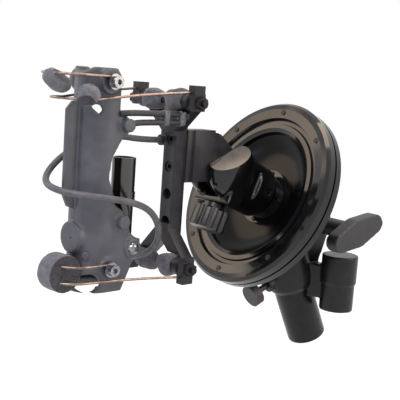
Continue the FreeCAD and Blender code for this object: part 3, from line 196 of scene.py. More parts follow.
def moulded_nylon(name, dark, light, roughness, grit_mm=0.5, strength=0.35):
    """Glass-filled nylon, moulded: a fine spark-eroded skin with a soft, slightly uneven sheen."""
    material, tree, shader = new_material(name, dark, roughness)
    place = place_in_mm(tree)
    cloud = grain(tree, place, 14.0, 2.0)
    skin = grain(tree, place, grit_mm, 4.0, 0.7)
    tinted(tree, shader, cloud, dark, light)
    roughened(tree, shader, cloud, roughness - 0.05, roughness + 0.07)
    bumped(tree, shader, skin, strength, 0.12)
    return material


def polished(name, dark, light, roughness=0.09, specular=0.4):
    """Polished ABS or lacquer: a near mirror with a long, barely wavy surface."""
    material, tree, shader = new_material(name, dark, roughness, ior=1.54)
    shader.inputs["Specular IOR Level"].default_value = specular
    place = place_in_mm(tree)
    cloud = grain(tree, place, 22.0, 2.0)
    ripple = grain(tree, place, 9.0, 1.0)
    tinted(tree, shader, cloud, dark, light)
    roughened(tree, shader, cloud, roughness - 0.02, roughness + 0.05)
    bumped(tree, shader, ripple, 0.12, 0.05)
    return material


def satin_metal(name, dark, light, roughness, grit_mm=0.6, strength=0.3, metallic=0.0):
    """Powder-coated, anodised or blackened metal: satin, with a low orange-peel."""
    material, tree, shader = new_material(name, dark, roughness, metallic=metallic)
    shader.inputs["Specular IOR Level"].default_value = 0.3
    place = place_in_mm(tree)
    cloud = grain(tree, place, 10.0, 3.0)
    peel = grain(tree, place, grit_mm, 3.0, 0.6)
    tinted(tree, shader, cloud, dark, light)
    roughened(tree, shader, cloud, roughness - 0.06, roughness + 0.08)
    bumped(tree, shader, peel, strength, 0.08)
    return material


def spring_steel(name, dark, light):
    """Drawn spring wire with a warm oxide tint: bright, with fine lengthwise marks."""
    material, tree, shader = new_material(name, light, 0.28, metallic=1.0)
    place = place_in_mm(tree)
    marks = grain(tree, place, 3.0, 4.0)
    tinted(tree, shader, marks, dark, light)
    bumped(tree, shader, grain(tree, place, 0.8, 2.0), 0.08, 0.02)
    return material


def plated_metal(name, dark, light, roughness=0.14):
    """Plated or plain metal: from bright to dull, with a faint haze from handling."""
    material, tree, shader = new_material(name, light, roughness, metallic=1.0)
    place = place_in_mm(tree)
    haze = grain(tree, place, 2.5, 3.0)
    tinted(tree, shader, haze, dark, light)
    roughened(tree, shader, haze, roughness - 0.05, roughness + 0.1)
    return material


def open_foam(name, dark, light, cell_mm, strength, contrast=0.45):
    """Polyether foam: cells drawn a little coarse so that they show in the render."""
    material, tree, shader = new_material(name, dark, 0.95)
    shader.inputs["Specular IOR Level"].default_value = 0.2
    shader.inputs["Sheen Weight"].default_value = 0.2
    shader.inputs["Sheen Roughness"].default_value = 0.5
    place = place_in_mm(tree)
    cells = add_node(tree, "ShaderNodeTexVoronoi", {}, {"Scale": 1.0 / cell_mm}, [("Vector", place, 0)])
    cloud = grain(tree, place, 6.0, 5.0)
    both = add_node(tree, "ShaderNodeMath", {"operation": "MULTIPLY_ADD"}, {1: contrast},
                    [(0, cells, "Distance"), (2, cloud, "Fac")])
    ramp = tinted(tree, shader, both, dark, light, 0)
    ramp.color_ramp.elements[0].position = 0.4
    ramp.color_ramp.elements[1].position = 0.95
    bumped(tree, shader, both, strength, 0.4, 0)
    return material


def matte_rubber(name, dark, light):
    """Rubber jacket, gasket or elastic cord: matte, with a fine drawn skin."""
    material, tree, shader = new_material(name, dark, 0.5)
    place = place_in_mm(tree)
    cloud = grain(tree, place, 6.0, 3.0)
    skin = grain(tree, place, 0.4, 2.0)
    tinted(tree, shader, cloud, dark, light)
    bumped(tree, shader, skin, 0.25, 0.06)
    return material


MATERIALS = {
    "cradle_grey": moulded_nylon("slate_grey_nylon", "#414249", "#4f515a", 0.4, 0.6, 0.3),
    "gloss_black": polished("polished_black_abs", "#0a0a0c", "#121216"),
    # painted shade: the bowl's black is a darker, less reflective copy of the gloss black, standing for the
    # shade inside the dish
    "bowl_painted_shade_black": polished("bowl_black_abs_painted_shade", "#040405", "#08080a", 0.22, 0.12),
    "knob_black": moulded_nylon("black_moulded_nylon", "#222127", "#2d2c32", 0.45, 0.7),
    "fluted_black": moulded_nylon("black_knob_nylon", "#1c1b1f", "#28272b", 0.3, 0.7, 0.2),
    "bracket_black": satin_metal("black_anodised_aluminium", "#212126", "#2f2d33", 0.34, 0.5, 0.2, 0.2),
    "casting_black": satin_metal("black_powder_coat", "#141416", "#1e1d20", 0.34, 0.8, 0.3),
    "tube_black": satin_metal("black_anodised_tube", "#151517", "#1d1d20", 0.3, 0.4, 0.12, 0.2),
    "wire_steel": spring_steel("spring_steel_wire", "#6e5c54", "#94827a"),
    "bright_screw": plated_metal("nickel_plated_steel", "#6d6e73", "#a3a4a9"),
    "dark_screw": satin_metal("black_oxide_steel", "#1a191b", "#2b292b", 0.3, 0.4, 0.15, 0.4),
    "foam_skin": open_foam("foam_skin", "#585961", "#7c7d87", 0.9, 0.35, 0.2),
    # darker, more speckled foam on the rolls' end faces and on the buns' flattened faces
    "foam_dark_face": open_foam("foam_darker_faces", "#131316", "#45454c", 1.4, 0.9, 0.8),
    "foam_pad": open_foam("foam_pad", "#43444b", "#6c6d77", 1.0, 0.4, 0.25),
    "gasket_rubber": matte_rubber("black_rubber", "#111113", "#1b1b1e"),
    "cable_grey": matte_rubber("grey_cable_jacket", "#46464c", "#5a5a61"),
    "connector_black": polished("black_chrome_lacquer", "#15110d", "#1d1812", 0.14, 0.9),
    "brass": plated_metal("gold_plated_brass", "#a87b34", "#e0b463", 0.22),
    "strap_black": matte_rubber("black_elastic_cord", "#1c1c20", "#2c2c31"),
    "clip_grey": plated_metal("dull_steel_clip", "#4e4f55", "#6c6d73", 0.4),
}
# Nodes with a finish of their own, other than their slot's: the dish cup's is painted shade, a darker and
# duller copy of the gloss black for the shaded bowl
NODE_FINISH = {"dish_cup": "bowl_painted_shade_black", "lock_knob": "fluted_black"}


def paint(piece, key):
    piece.data.materials.clear()
    piece.data.materials.append(MATERIALS[key])


def paint_frame():
    """Every solid carried over from the model gets its finish."""
    for name, node in NODES.items():
        key = NODE_FINISH.get(name, SLOT_OF[name])
        for place in node.material_slots:
            place.material = MATERIALS["foam_pad" if key == "foam_grey" else key]


# Pieces
def add_piece(name, mesh, key, smooth=True):
    """A visible piece with one material, that of the slot it stands for."""
    piece = bpy.data.objects.new(name, mesh)
    bpy.context.collection.objects.link(piece)
    paint(piece, key)
    if smooth:
        mesh.shade_smooth()
    return piece


CURVE_STEPS = 10
CURVE_SIDES = 8
SKIN_SMOOTHING = 0.5
WELD_DISTANCE = 1e-6
BEVEL_ANGLE = math.radians(32)
BEVEL_STEPS = 3


def curve_object(name, points, radius):
    """NURBS curve through the given route, as thick as the cord or wire."""
    data = bpy.data.curves.new(name, "CURVE")
    data.dimensions = "3D"
    spline = data.splines.new("NURBS")
    spline.points.add(len(points) - 1)
    for control, place in zip(spline.points, points):
        control.co = (*place, 1.0)
    spline.order_u = 3
    spline.use_endpoint_u = True
    spline.resolution_u = CURVE_STEPS
    data.bevel_depth = radius
    data.bevel_resolution = CURVE_SIDES
    data.use_fill_caps = True
    curve = bpy.data.objects.new(name, data)
    bpy.context.collection.objects.link(curve)
    return curve


def tube_mesh(name, points, radius):
    """The curve's own tube as a mesh, with the line that it follows."""
    curve = curve_object(name + "_line", points, radius)
    mesh = bpy.data.meshes.new_from_object(curve)
    curve.data.bevel_depth = 0
    line = bpy.data.meshes.new_from_object(curve)
    path = [tuple(v.co) for v in line.vertices]
    bpy.data.meshes.remove(line)
    bpy.data.objects.remove(curve)
    mesh.name = name
    return mesh, path


def skin_copy(node):
    """A copy of a solid in its own place, to be worked on with modifiers."""
    source = NODES[node]
    piece = bpy.data.objects.new(node + "_skin", source.data.copy())
    bpy.context.collection.objects.link(piece)
    piece.matrix_world = source.matrix_world.copy()
    return piece


def rounded(piece, voxel, factor, rounds):
    """Rounds a piece all over: rebuilt in small cubes, then smoothed."""
    remesh = piece.modifiers.new("remesh", "REMESH")
    remesh.mode = "VOXEL"
    remesh.voxel_size = voxel * MM
    smooth = piece.modifiers.new("smooth", "SMOOTH")
    smooth.factor = factor
    smooth.iterations = rounds


def applied(piece):
    """The piece's mesh with its modifiers worked in."""
    bpy.context.view_layer.update()
    evaluated = piece.evaluated_get(bpy.context.evaluated_depsgraph_get())
    mesh = bpy.data.meshes.new_from_object(evaluated)
    piece.modifiers.clear()
    return mesh


def finished(piece, node, key):
    """Applies a copy's modifiers and lets it stand for its solid."""
    mesh = applied(piece)
    piece.data = mesh
    paint(piece, key)
    mesh.shade_smooth()
    mesh.set_sharp_from_angle(angle=SHARP_ANGLE)
    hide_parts(node)
    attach(piece, BODY_OF[node])
    return piece


def softened(node, voxel, rounds, key):
    """A moulded or cast copy of a solid, its edges rounded as they leave the mould."""
    piece = skin_copy(node)
    rounded(piece, voxel, SKIN_SMOOTHING, rounds)
    return finished(piece, node, key)


def bevelled(node, width, key):
    """A machined copy of a solid with its sharp edges broken."""
    piece = skin_copy(node)
    weld = piece.modifiers.new("weld", "WELD")
    weld.merge_threshold = WELD_DISTANCE
    bevel = piece.modifiers.new("bevel", "BEVEL")
    bevel.width = width * MM
    bevel.segments = BEVEL_STEPS
    bevel.limit_method = "ANGLE"
    bevel.angle_limit = BEVEL_ANGLE
    bevel.harden_normals = False
    return finished(piece, node, key)


# Microphone lead
LEAD_DIAMETER = 5.2
LEAD_ROUTE = (
    (-12.2, 0.0, 21.0), (-12.2, -20.0, 21.0), (-17.0, -42.0, 24.0), (-28.0, -61.0, 19.5),
    (-33.0, -82.0, 8.0), (-28.0, -101.0, -5.0), (-12.0, -113.5, -12.0), (7.0, -113.5, -15.0),
    (21.0, -103.0, -16.5), (29.0, -86.0, -18.5), (31.5, -67.0, -21.5), (30.5, -49.0, -27.0),
    (27.5, -36.0, -36.0), (24.0, -28.0, -47.0), (17.0, -22.5, -58.0), (8.0, -21.5, -68.0),
    (3.0, -28.5, -72.0), (3.0, -38.5, -72.0),
)


def add_lead():
    points = [spot(*place) for place in LEAD_ROUTE]
    mesh, path = tube_mesh("microphone_lead", points, LEAD_DIAMETER / 2 * MM)
    lead = add_piece("microphone_lead", mesh, "cable_grey")
    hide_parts("mic_cable")
    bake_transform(lead)
    return lead


# Suspension wires
WIRE_RADIUS = 1.0
WIRE_BOW = 1.2
HAIRPINS = {
    # node: half width, bend's y, tip's z, end's x, y and z, blended with the bracket
    "upper_inner_wire": (21.7, -102.0, 70.65, 21.7, -75.5, 70.65, False),
    "lower_inner_wire": (21.7, -92.5, -71.35, 21.7, -69.5, -71.35, False),
    "upper_outer_wire": (20.5, -95.0, 53.0, 34.0, -3.0, 63.0, True),
    "lower_outer_wire": (20.5, -94.0, -84.0, 34.0, -3.0, -86.5, True),
}
BEND_POINTS = 14
LEG_SHARES = (0.0, 0.33, 0.66, 0.9)


def hairpin_points(half, bend_y, tip_z, end_x, end_y, end_z):
    """One leg, the half-round bend and the other leg. Splayed legs bow upwards a little."""
    end = Vector((end_x, end_y, end_z))
    lean = Vector((half, bend_y, tip_z)) - end
    bow = WIRE_BOW if end_x > half else 0.0

    def leg(side, shares):
        for share in shares:
            x, y, z = end + lean * share + Vector((0, 0, bow * math.sin(math.pi * share)))
            yield spot(side * x, y, z)

    angles = [math.pi * k / BEND_POINTS for k in range(BEND_POINTS + 1)]
    bend = [spot(half * math.cos(a), bend_y - half * math.sin(a), tip_z) for a in angles]
    return [*leg(1, LEG_SHARES), *bend, *leg(-1, reversed(LEG_SHARES))]


def add_wires():
    for node, (*sizes, outer) in HAIRPINS.items():
        mesh, _ = tube_mesh(node + "_round", hairpin_points(*sizes), WIRE_RADIUS * MM)
        wire = add_piece(node + "_round", mesh, "wire_steel")
        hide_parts(node)
        if outer:
            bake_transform(wire)
        else:
            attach(wire, "cradle")


# Foam rolls
FOAM_SEGMENTS = 96
FOAM_ROWS = 22
FOAM_FACE_RINGS = 10
FOAM_EDGE = 1.1
FOAM_EDGE_ROUNDING = 0.32
FOAM_CROWN = 0.05
FOAM_WEAR = 0.35
FACE_NORMAL = 0.75


def foam_mesh(name, radius, half, along, centre, seed):
    """A cut foam roll about a given axis, with pitted skin and slightly crowned ends."""
    profile = []
    for k in range(FOAM_FACE_RINGS):
        profile.append((radius * k / FOAM_FACE_RINGS, -half))
    for k in range(FOAM_ROWS + 1):
        profile.append((radius, -half + 2 * half * k / FOAM_ROWS))
    for k in range(FOAM_FACE_RINGS - 1, -1, -1):
        profile.append((radius * k / FOAM_FACE_RINGS, half))
    turn = Vector((0, 0, 1)).rotation_difference(Vector(along)).to_matrix()
    mesh = bmesh.new()
    rings = []
    for r, h in profile:
        if r == 0:
            rings.append([mesh.verts.new((0, 0, h))])
            continue
        ring = []
        for s in range(FOAM_SEGMENTS):
            angle = 2 * math.pi * s / FOAM_SEGMENTS
            ring.append(mesh.verts.new((r * math.cos(angle), r * math.sin(angle), h)))
        rings.append(ring)
    for low, high in zip(rings, rings[1:]):
        count = max(len(low), len(high))
        for s in range(count):
            corners = [low[s % len(low)], low[(s + 1) % len(low)], high[(s + 1) % len(high)],
                       high[s % len(high)]]
            unique = list(dict.fromkeys(corners))
            mesh.faces.new(unique)
    for vertex in mesh.verts:
        x, y, h = vertex.co
        r = math.hypot(x, y)
        past_side = max(0.0, r / radius - 1 + FOAM_EDGE / radius)
        past_end = max(0.0, abs(h) / half - 1 + FOAM_EDGE / half)
        inset = past_side * past_end * (radius * half / FOAM_EDGE)
        shrink = 1 - FOAM_EDGE_ROUNDING * inset / radius
        crown = 1 - FOAM_CROWN * (r / radius) ** 2
        place = Vector((x * shrink, y * shrink, h * crown))
        rough = noise.noise((place + Vector((seed, 0, 0))) * 0.55)
        pit = min(0.0, noise.noise((place + Vector((0, seed, 0))) * 1.3) + 0.1)
        push = FOAM_WEAR * (rough * 0.6 + pit * 1.6 - 0.5)
        outward = Vector((x, y, 0)).normalized() if r > 0.9 * radius else Vector((0, 0, 1 if h > 0 else -1))
        vertex.co = place + outward * push
        vertex.co = turn @ vertex.co
        vertex.co = spot(*(Vector(centre) + vertex.co))
    bmesh.ops.recalc_face_normals(mesh, faces=mesh.faces)
    data = bpy.data.meshes.new(name)
    mesh.to_mesh(data)
    mesh.free()
    return data


def add_foam(name, node, body, radius, half, along, centre, seed):
    """A foam roll whose end faces get the darker foam, standing for a node."""
    roll = add_piece(name, foam_mesh(name, radius, half, along, centre, seed), "foam_skin")
    roll.data.materials.append(MATERIALS["foam_dark_face"])
    axis = Vector(along).normalized()
    for face in roll.data.polygons:
        face.material_index = int(abs(face.normal.dot(axis)) > FACE_NORMAL)
    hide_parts(node)
    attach(roll, body)
    return roll


# Foam buns: pinched, folded pieces of foam over a wire or rod
BUN_ROWS = 60
BUN_SEGMENTS = 96
BUN_SWELL = 1.5
BUN_PIT_DEPTH = 0.22
BUN_SHRINK = 0.5
CUT_FLATNESS = 0.9
BUN_WELD = 1e-5
BUNS = {
    # node: (label, body, centre, half sizes, turn about X, Y and Z, squareness, cut planes)
    "upper_foam_roll": (
        ("upper_roll", "cradle", (0.5, -115.5, 65.0), (9.0, 12.4, 7.6), (-30, 0, 0), 2.1,
         (((0.75, 0.25, 0.6), 6.4),)),),
    "side_foam_roll": (
        ("side_roll", "cradle", (19.5, -100.5, 56.0), (8.2, 9.6, 8.6), (8, 0, 0), 2.3,
         (((0.45, -0.5, -0.74), 5.6), ((0.3, 0.75, -0.6), 6.4))),),
    "upper_foam_pads": (
        ("upper_pad_far", "bracket", (-15.5, -6.5, 55.0), (10.2, 10.0, 8.8), (0, 12, 20), 2.6, ()),
        ("upper_pad_near", "bracket", (13.5, -7.0, 55.5), (11.0, 10.0, 9.4), (0, -10, -14), 2.6, ())),
    "lower_foam_pads": (
        ("lower_pad_far", "bracket", (-11.5, -7.0, -79.5), (12.6, 9.6, 8.4), (0, 14, 12), 2.3, ()),
        ("lower_pad_near", "bracket", (15.0, -7.0, -79.0), (9.2, 10.2, 9.4), (0, -12, -10), 2.4, ())),
}


def bun_mesh(name, centre, halves, turn, squareness, cuts, seed):
    """A squashed superellipsoid with worn, pitted skin, flattened where the foam was cut."""
    power = 2.0 / squareness
    rotation = Matrix.Rotation(math.radians(turn[2]), 3, "Z") @ Matrix.Rotation(
        math.radians(turn[1]), 3, "Y") @ Matrix.Rotation(math.radians(turn[0]), 3, "X")
    verts, faces, cut_vertices = [], [], set()
    for i in range(BUN_ROWS + 1):
        pitch = math.pi * (i / BUN_ROWS - 0.5)
        for k in range(BUN_SEGMENTS):
            yaw = 2 * math.pi * k / BUN_SEGMENTS
            raw = (math.sin(pitch), math.cos(pitch) * math.cos(yaw), math.cos(pitch) * math.sin(yaw))
            place = Vector([h * math.copysign(abs(c) ** power, c) for h, c in zip(halves, raw)])
            swell = noise.noise(place * 0.16 + Vector((seed, 0, 0))) * BUN_SWELL
            pits = noise.noise(place * 0.9 + Vector((0, seed, 0))) * BUN_PIT_DEPTH
            place += place.normalized() * (swell + pits - BUN_SHRINK)
            place = rotation @ place
            for normal, reach in cuts:
                away = Vector(normal).normalized()
                over = place.dot(away) - reach
                if over > 0:
                    place -= away * over * CUT_FLATNESS
                    cut_vertices.add(len(verts))
            verts.append(tuple(spot(*(Vector(centre) + place))))
    for i in range(BUN_ROWS):
        for k in range(BUN_SEGMENTS):
            after = (k + 1) % BUN_SEGMENTS
            low, high = i * BUN_SEGMENTS, (i + 1) * BUN_SEGMENTS
            faces.append((low + k, low + after, high + after, high + k))
    mesh = bpy.data.meshes.new(name)
    mesh.from_pydata(verts, [], faces)
    work = bmesh.new()
    work.from_mesh(mesh)
    for face in work.faces:
        face.material_index = int(all(v.index in cut_vertices for v in face.verts))
    bmesh.ops.remove_doubles(work, verts=work.verts, dist=BUN_WELD)
    bmesh.ops.recalc_face_normals(work, faces=work.faces)
    work.to_mesh(mesh)
    work.free()
    return mesh


def add_buns():
    """Every bun on its body; the first of each node stands for that node."""
    for node, buns in BUNS.items():
        for k, (label, body, centre, halves, turn, squareness, cuts) in enumerate(buns):
            mesh = bun_mesh(label, centre, halves, turn, squareness, cuts, 7.3 * k + len(label))
            skin = "foam_pad" if body == "bracket" else "foam_skin"
            bun = bpy.data.objects.new(label, mesh)
            bpy.context.collection.objects.link(bun)
            mesh.materials.append(MATERIALS[skin])
            mesh.materials.append(MATERIALS["foam_dark_face"])
            mesh.shade_smooth()
            if k == 0:
                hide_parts(node)
            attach(bun, body)


LOWER_ROLL_RADIUS = 14.6
LOWER_ROLL_HALF = 8.6
LOWER_ROLL_CENTRE = (3.0, -107.5, -77.5)
LOWER_ROLL_SEED = 8.4
CRADLE_AXIS_Y = -76.0
CRADLE_CLEARANCE = 19.3


def add_lower_roll():
    """The thick roll over the lower bends, hollowed where it bears on the cradle."""
    roll = add_foam("lower_roll", "lower_foam_roll", "cradle", LOWER_ROLL_RADIUS, LOWER_ROLL_HALF,
                    (1, 0, 0), LOWER_ROLL_CENTRE, LOWER_ROLL_SEED)
    for vertex in roll.data.vertices:
        off = (vertex.co - spot(0, CRADLE_AXIS_Y, 0)) / MM
        reach = math.hypot(off.x, off.y)
        if reach < CRADLE_CLEARANCE:
            vertex.co.x += off.x * (CRADLE_CLEARANCE / reach - 1) * MM
            vertex.co.y += off.y * (CRADLE_CLEARANCE / reach - 1) * MM


# Elastic cord between cradle and bracket, with its two clips
STRAP_ROUTE = (
    (19.0, -70.0, 43.6), (21.0, -66.0, 44.2), (22.3, -58.0, 44.6), (22.3, -44.0, 44.6),
    (22.3, -27.0, 44.6), (22.3, -14.0, 44.6), (22.0, -7.0, 44.2), (21.6, -6.2, 41.2), (22.0, -7.0, 38.4),
    (22.3, -14.0, 38.0), (22.3, -27.0, 37.9), (22.3, -44.0, 37.6), (22.3, -56.0, 37.2),
    (22.6, -63.0, 36.0),
)
STRAP_RADIUS = 2.4
CLIPS = (("strap_slider_clip", "strap_slider", -27.0), ("strap_end_clip", None, -10.0))
CLIP_CENTRE_X = 22.3
CLIP_CENTRE_Z = 41.2
CLIP_HALVES = (2.7, 3.1, 6.2)
CLIP_EDGE = 1.2
BOX_FACES = ((0, 1, 3, 2), (4, 6, 7, 5), (0, 4, 5, 1), (2, 3, 7, 6), (0, 2, 6, 4), (1, 5, 7, 3))


def add_strap():
    """The doubled cord, its end loop on the bracket and the clips that hold it together."""
    points = [spot(*place) for place in STRAP_ROUTE]
    mesh, _ = tube_mesh("elastic_cord", points, STRAP_RADIUS * MM)
    strap = add_piece("elastic_cord", mesh, "strap_black")
    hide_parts("safety_strap")
    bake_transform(strap)
    for name, node, y in CLIPS:
        wide, long, high = [(-half, half) for half in CLIP_HALVES]
        corners = [spot(CLIP_CENTRE_X + dx, y + dy, CLIP_CENTRE_Z + dz)
                   for dx in wide for dy in long for dz in high]
        mesh = bpy.data.meshes.new(name)
        mesh.from_pydata([tuple(c) for c in corners], [], BOX_FACES)
        work = bmesh.new()
        work.from_mesh(mesh)
        bmesh.ops.recalc_face_normals(work, faces=work.faces)
        bmesh.ops.bevel(work, geom=work.edges, offset=CLIP_EDGE * MM, segments=3, profile=0.6,
                        affect="EDGES")
        work.to_mesh(mesh)
        work.free()
        clip = add_piece(name, mesh, "clip_grey")
        if node:
            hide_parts(node)
        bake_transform(clip)


# Small mouldings on the cradle
STUD_SEGMENTS = 40
STUD_ROUNDING = 0.3


def stud(name, place, axis, radius, length, key):
    """A short round stud with a rounded edge, standing on the cradle."""
    work = bmesh.new()
    bmesh.ops.create_cone(work, cap_ends=True, segments=STUD_SEGMENTS, radius1=radius * MM,
                          radius2=radius * MM, depth=2 * length * MM)
    rim = [e for e in work.edges if all(v.co.z > 0 for v in e.verts)]
    bmesh.ops.bevel(work, geom=rim, offset=STUD_ROUNDING * radius * MM, segments=3, profile=0.5,
                    affect="EDGES")
    turn = Vector((0, 0, 1)).rotation_difference(Vector(axis)).to_matrix().to_4x4()
    bmesh.ops.transform(work, matrix=Matrix.Translation(place) @ turn, verts=work.verts)
    mesh = bpy.data.meshes.new(name)
    work.to_mesh(mesh)
    work.free()
    piece = add_piece(name, mesh, key)
    mesh.set_sharp_from_angle(angle=SHARP_ANGLE)
    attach(piece, "cradle")
    return piece


KEEL_OUTLINE = ((-93.6, 50), (-100.5, 51.2), (-105.8, 45), (-105.8, -19), (-101.5, -28), (-93.6, -31))
KEEL_HALF = 1.6
KEEL_EDGE = 0.45


def add_mouldings():
    """A side stud, a dark dot of painted shade on the spine pad where its dimple is, and the keel rib's
    broken edge.
    """
    stud("side_stud", spot(11.9, -90.7, -64.8), (0.62, -0.78, 0), 3.3, 1.6, "cradle_grey")
    # painted shade: a dark nylon dot stands for the shade in the spine pad's small centre dimple
    stud("pad_dimple_shade_dot", spot(1.4, -97.4, -52.0), (0, -1, 0), 1.0, 0.4, "knob_black")
    work = bmesh.new()
    faces = [work.faces.new([work.verts.new(spot(x, y, z)) for y, z in KEEL_OUTLINE])
             for x in (-KEEL_HALF, KEEL_HALF)]
    count = len(KEEL_OUTLINE)
    low, high = faces[0].verts[:], faces[1].verts[:]
    for k in range(count):
        work.faces.new((low[k], low[(k + 1) % count], high[(k + 1) % count], high[k]))
    bmesh.ops.recalc_face_normals(work, faces=work.faces)
    bmesh.ops.bevel(work, geom=work.edges, offset=KEEL_EDGE * MM, segments=2, profile=0.5, affect="EDGES")
    mesh = bpy.data.meshes.new("keel_edge")
    work.to_mesh(mesh)
    work.free()
    rib = add_piece("keel_edge", mesh, "cradle_grey", False)
    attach(rib, "cradle")


# Knuckle of the swivel: the cheeks swell into one smooth housing with a facet on top
KNUCKLE_CENTRE = (12.5, 64.0, -3.0)
KNUCKLE_HALVES = (13.5, 26.5, 25.5)
KNUCKLE_INNER = 8.7
FACET_POINT = (16.0, 67.5, 10.5)
FACET_NORMAL = (0.42, -0.34, 0.84)
FACET_SHARP_ANGLE = math.radians(28)
KNUCKLE_VOXEL = 0.8
KNUCKLE_SMOOTHING = 0.6
KNUCKLE_ROUNDS = 14


def add_knuckle():
    """The swivel's cheeks and pin as one smooth shape, with its facet cut off flat."""
    work = bmesh.new()
    for node in ("swivel_housing", "tilt_pin"):
        work.from_mesh(NODES[node].data)
    for side in (1, -1):
        dome = bmesh.ops.create_uvsphere(work, u_segments=64, v_segments=40, radius=1.0)["verts"]
        for vertex in dome:
            x, y, z = [h * c for h, c in zip(KNUCKLE_HALVES, vertex.co)]
            x = max(x + KNUCKLE_CENTRE[0], KNUCKLE_INNER)
            vertex.co = spot(side * x, y + KNUCKLE_CENTRE[1], z + KNUCKLE_CENTRE[2])
    bmesh.ops.recalc_face_normals(work, faces=work.faces)
    mesh = bpy.data.meshes.new("knuckle")
    work.to_mesh(mesh)
    work.free()
    knuckle = bpy.data.objects.new("knuckle", mesh)
    bpy.context.collection.objects.link(knuckle)
    rounded(knuckle, KNUCKLE_VOXEL, KNUCKLE_SMOOTHING, KNUCKLE_ROUNDS)
    mesh = applied(knuckle)
    work = bmesh.new()
    work.from_mesh(mesh)
    cut = bmesh.ops.bisect_plane(work, geom=work.verts[:] + work.edges[:] + work.faces[:],
                                 plane_co=spot(*FACET_POINT), plane_no=Vector(FACET_NORMAL),
                                 clear_outer=True)
    rim = [item for item in cut["geom_cut"] if isinstance(item, bmesh.types.BMEdge)]
    bmesh.ops.holes_fill(work, edges=rim, sides=0)
    work.to_mesh(mesh)
    work.free()
    knuckle.data = mesh
    paint(knuckle, "gloss_black")
    mesh.shade_smooth()
    mesh.set_sharp_from_angle(angle=FACET_SHARP_ANGLE)
    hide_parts("swivel_housing", "tilt_pin")
    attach(knuckle, "swivel")


def add_skins():
    """Moulded, cast and machined edges on the solids that show theirs most."""
    softened("cradle_shell", 0.85, 3, "cradle_grey")
    softened("wing_knob", 0.8, 8, "knob_black")
    softened("clamp_casting", 1.0, 4, "casting_black")
    bevelled("wire_bracket", 0.5, "bracket_black")
    bevelled("arm_block", 0.6, "bracket_black")
    bevelled("spacer_plate", 0.3, "bracket_black")
    bevelled("lock_knob", 0.5, "fluted_black")


# Studio
LAMPS = (
    # name, azimuth, elevation, distance, width, height, power, colour
    ("key", 20.0, 50.0, 1.1, 0.8, 0.8, 9.0, "#ffffff"),
    ("overhead_warm", 160.0, 75.0, 1.0, 0.5, 0.5, 5.0, "#ffe3c8"),
    ("window_warm", -62.0, 26.0, 1.1, 0.5, 0.7, 2.4, "#ffe0bd"),
    ("window_cool", -20.0, -12.0, 1.2, 0.4, 0.5, 3.0, "#a9bcff"),
    ("rim_right", 115.0, 25.0, 1.1, 0.4, 0.8, 5.0, "#fff1e0"),
)


def add_studio():
    """Area lamps round the object, each turned to its centre."""
    centre = sum((Vector(corner) for corner in CAD_BOX), Vector()) / 2
    for name, azimuth, elevation, distance, width, height, power, colour in LAMPS:
        angle = math.radians(azimuth)
        rise = math.radians(elevation)
        direction = Vector((math.sin(angle) * math.cos(rise), -math.cos(angle) * math.cos(rise),
                            math.sin(rise)))
        data = bpy.data.lights.new(name, "AREA")
        data.shape = "RECTANGLE"
        data.size = width
        data.size_y = height
        data.energy = power
        data.color = linear(colour)[:3]
        lamp = bpy.data.objects.new(name, data)
        lamp.location = centre + direction * distance
        lamp.rotation_euler = direction.to_track_quat("Z", "Y").to_euler()
        bpy.context.collection.objects.link(lamp)


def seen_directly(tree):
    """One for rays that show the background, to the camera, in a reflection or through glass."""
    ray = add_node(tree, "ShaderNodeLightPath")
    mirror = add_node(tree, "ShaderNodeMath", {"operation": "MAXIMUM"}, {},
                      [(0, ray, "Is Glossy Ray"), (1, ray, "Is Transmission Ray")])
    return add_node(tree, "ShaderNodeMath", {"operation": "MAXIMUM"}, {},
                    [(0, ray, "Is Camera Ray"), (1, mirror, 0)])


SEEN_STRENGTH = 1.0
LIGHT_STRENGTH = 0.45
LIGHT_COLOUR = "#d8dae0"


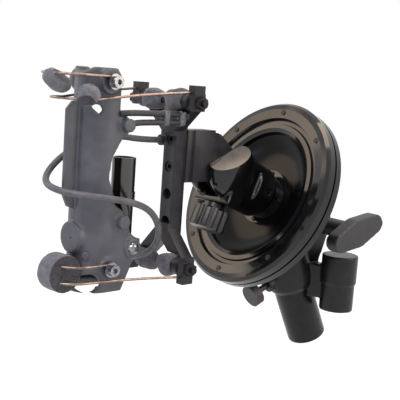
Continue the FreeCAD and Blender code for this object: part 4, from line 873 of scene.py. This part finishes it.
def add_world():
    """White behind the object and in its reflections, a softer grey as light."""
    world = bpy.data.worlds.new("studio")
    world.use_nodes = True
    tree = world.node_tree
    tree.nodes.clear()
    white = add_node(tree, "ShaderNodeBackground", {}, {"Color": (1, 1, 1, 1), "Strength": SEEN_STRENGTH})
    soft = add_node(tree, "ShaderNodeBackground", {},
                    {"Color": linear(LIGHT_COLOUR), "Strength": LIGHT_STRENGTH})
    mix = add_node(tree, "ShaderNodeMixShader", {}, {},
                   [(0, seen_directly(tree), 0), (1, soft, 0), (2, white, 0)])
    add_node(tree, "ShaderNodeOutputWorld", {}, {}, [("Surface", mix, 0)])
    bpy.context.scene.world = world


FLOOR_SIZE = 6.0
FLOOR_DROP = 0.02
FLOOR_WHITE = 0.88
FLOOR_GLOW = 1.13
PAPER_COLOUR = "#f4f4f4"


def add_floor():
    """White paper: mostly its own white, with enough of the shader left to keep the shadow."""
    z = CAD_BOX[0][2] - FLOOR_DROP
    mesh = bpy.data.meshes.new("floor")
    corners = [(-FLOOR_SIZE, -FLOOR_SIZE), (FLOOR_SIZE, -FLOOR_SIZE), (FLOOR_SIZE, FLOOR_SIZE),
               (-FLOOR_SIZE, FLOOR_SIZE)]
    mesh.from_pydata([(x, y, z) for x, y in corners], [], [(0, 1, 2, 3)])
    floor = bpy.data.objects.new("floor", mesh)
    bpy.context.collection.objects.link(floor)
    material, tree, shader = new_material("white_paper", PAPER_COLOUR, 0.95)
    shader.inputs["Specular IOR Level"].default_value = 0.0
    glow = add_node(tree, "ShaderNodeEmission", {}, {"Color": (1, 1, 1, 1), "Strength": FLOOR_GLOW})
    share = add_node(tree, "ShaderNodeMath", {"operation": "MULTIPLY"}, {1: FLOOR_WHITE},
                     [(0, seen_directly(tree), 0)])
    mix = add_node(tree, "ShaderNodeMixShader", {}, {}, [(0, share, 0), (1, shader, 0), (2, glow, 0)])
    tree.links.new(mix.outputs[0], tree.nodes["Material Output"].inputs["Surface"])
    mesh.materials.append(material)


add_camera()
paint_frame()
add_lead()
add_wires()
add_buns()
add_lower_roll()
add_strap()
add_mouldings()
add_knuckle()
add_skins()
add_studio()
add_world()
add_floor()
bpy.context.scene.view_settings.view_transform = "Standard"
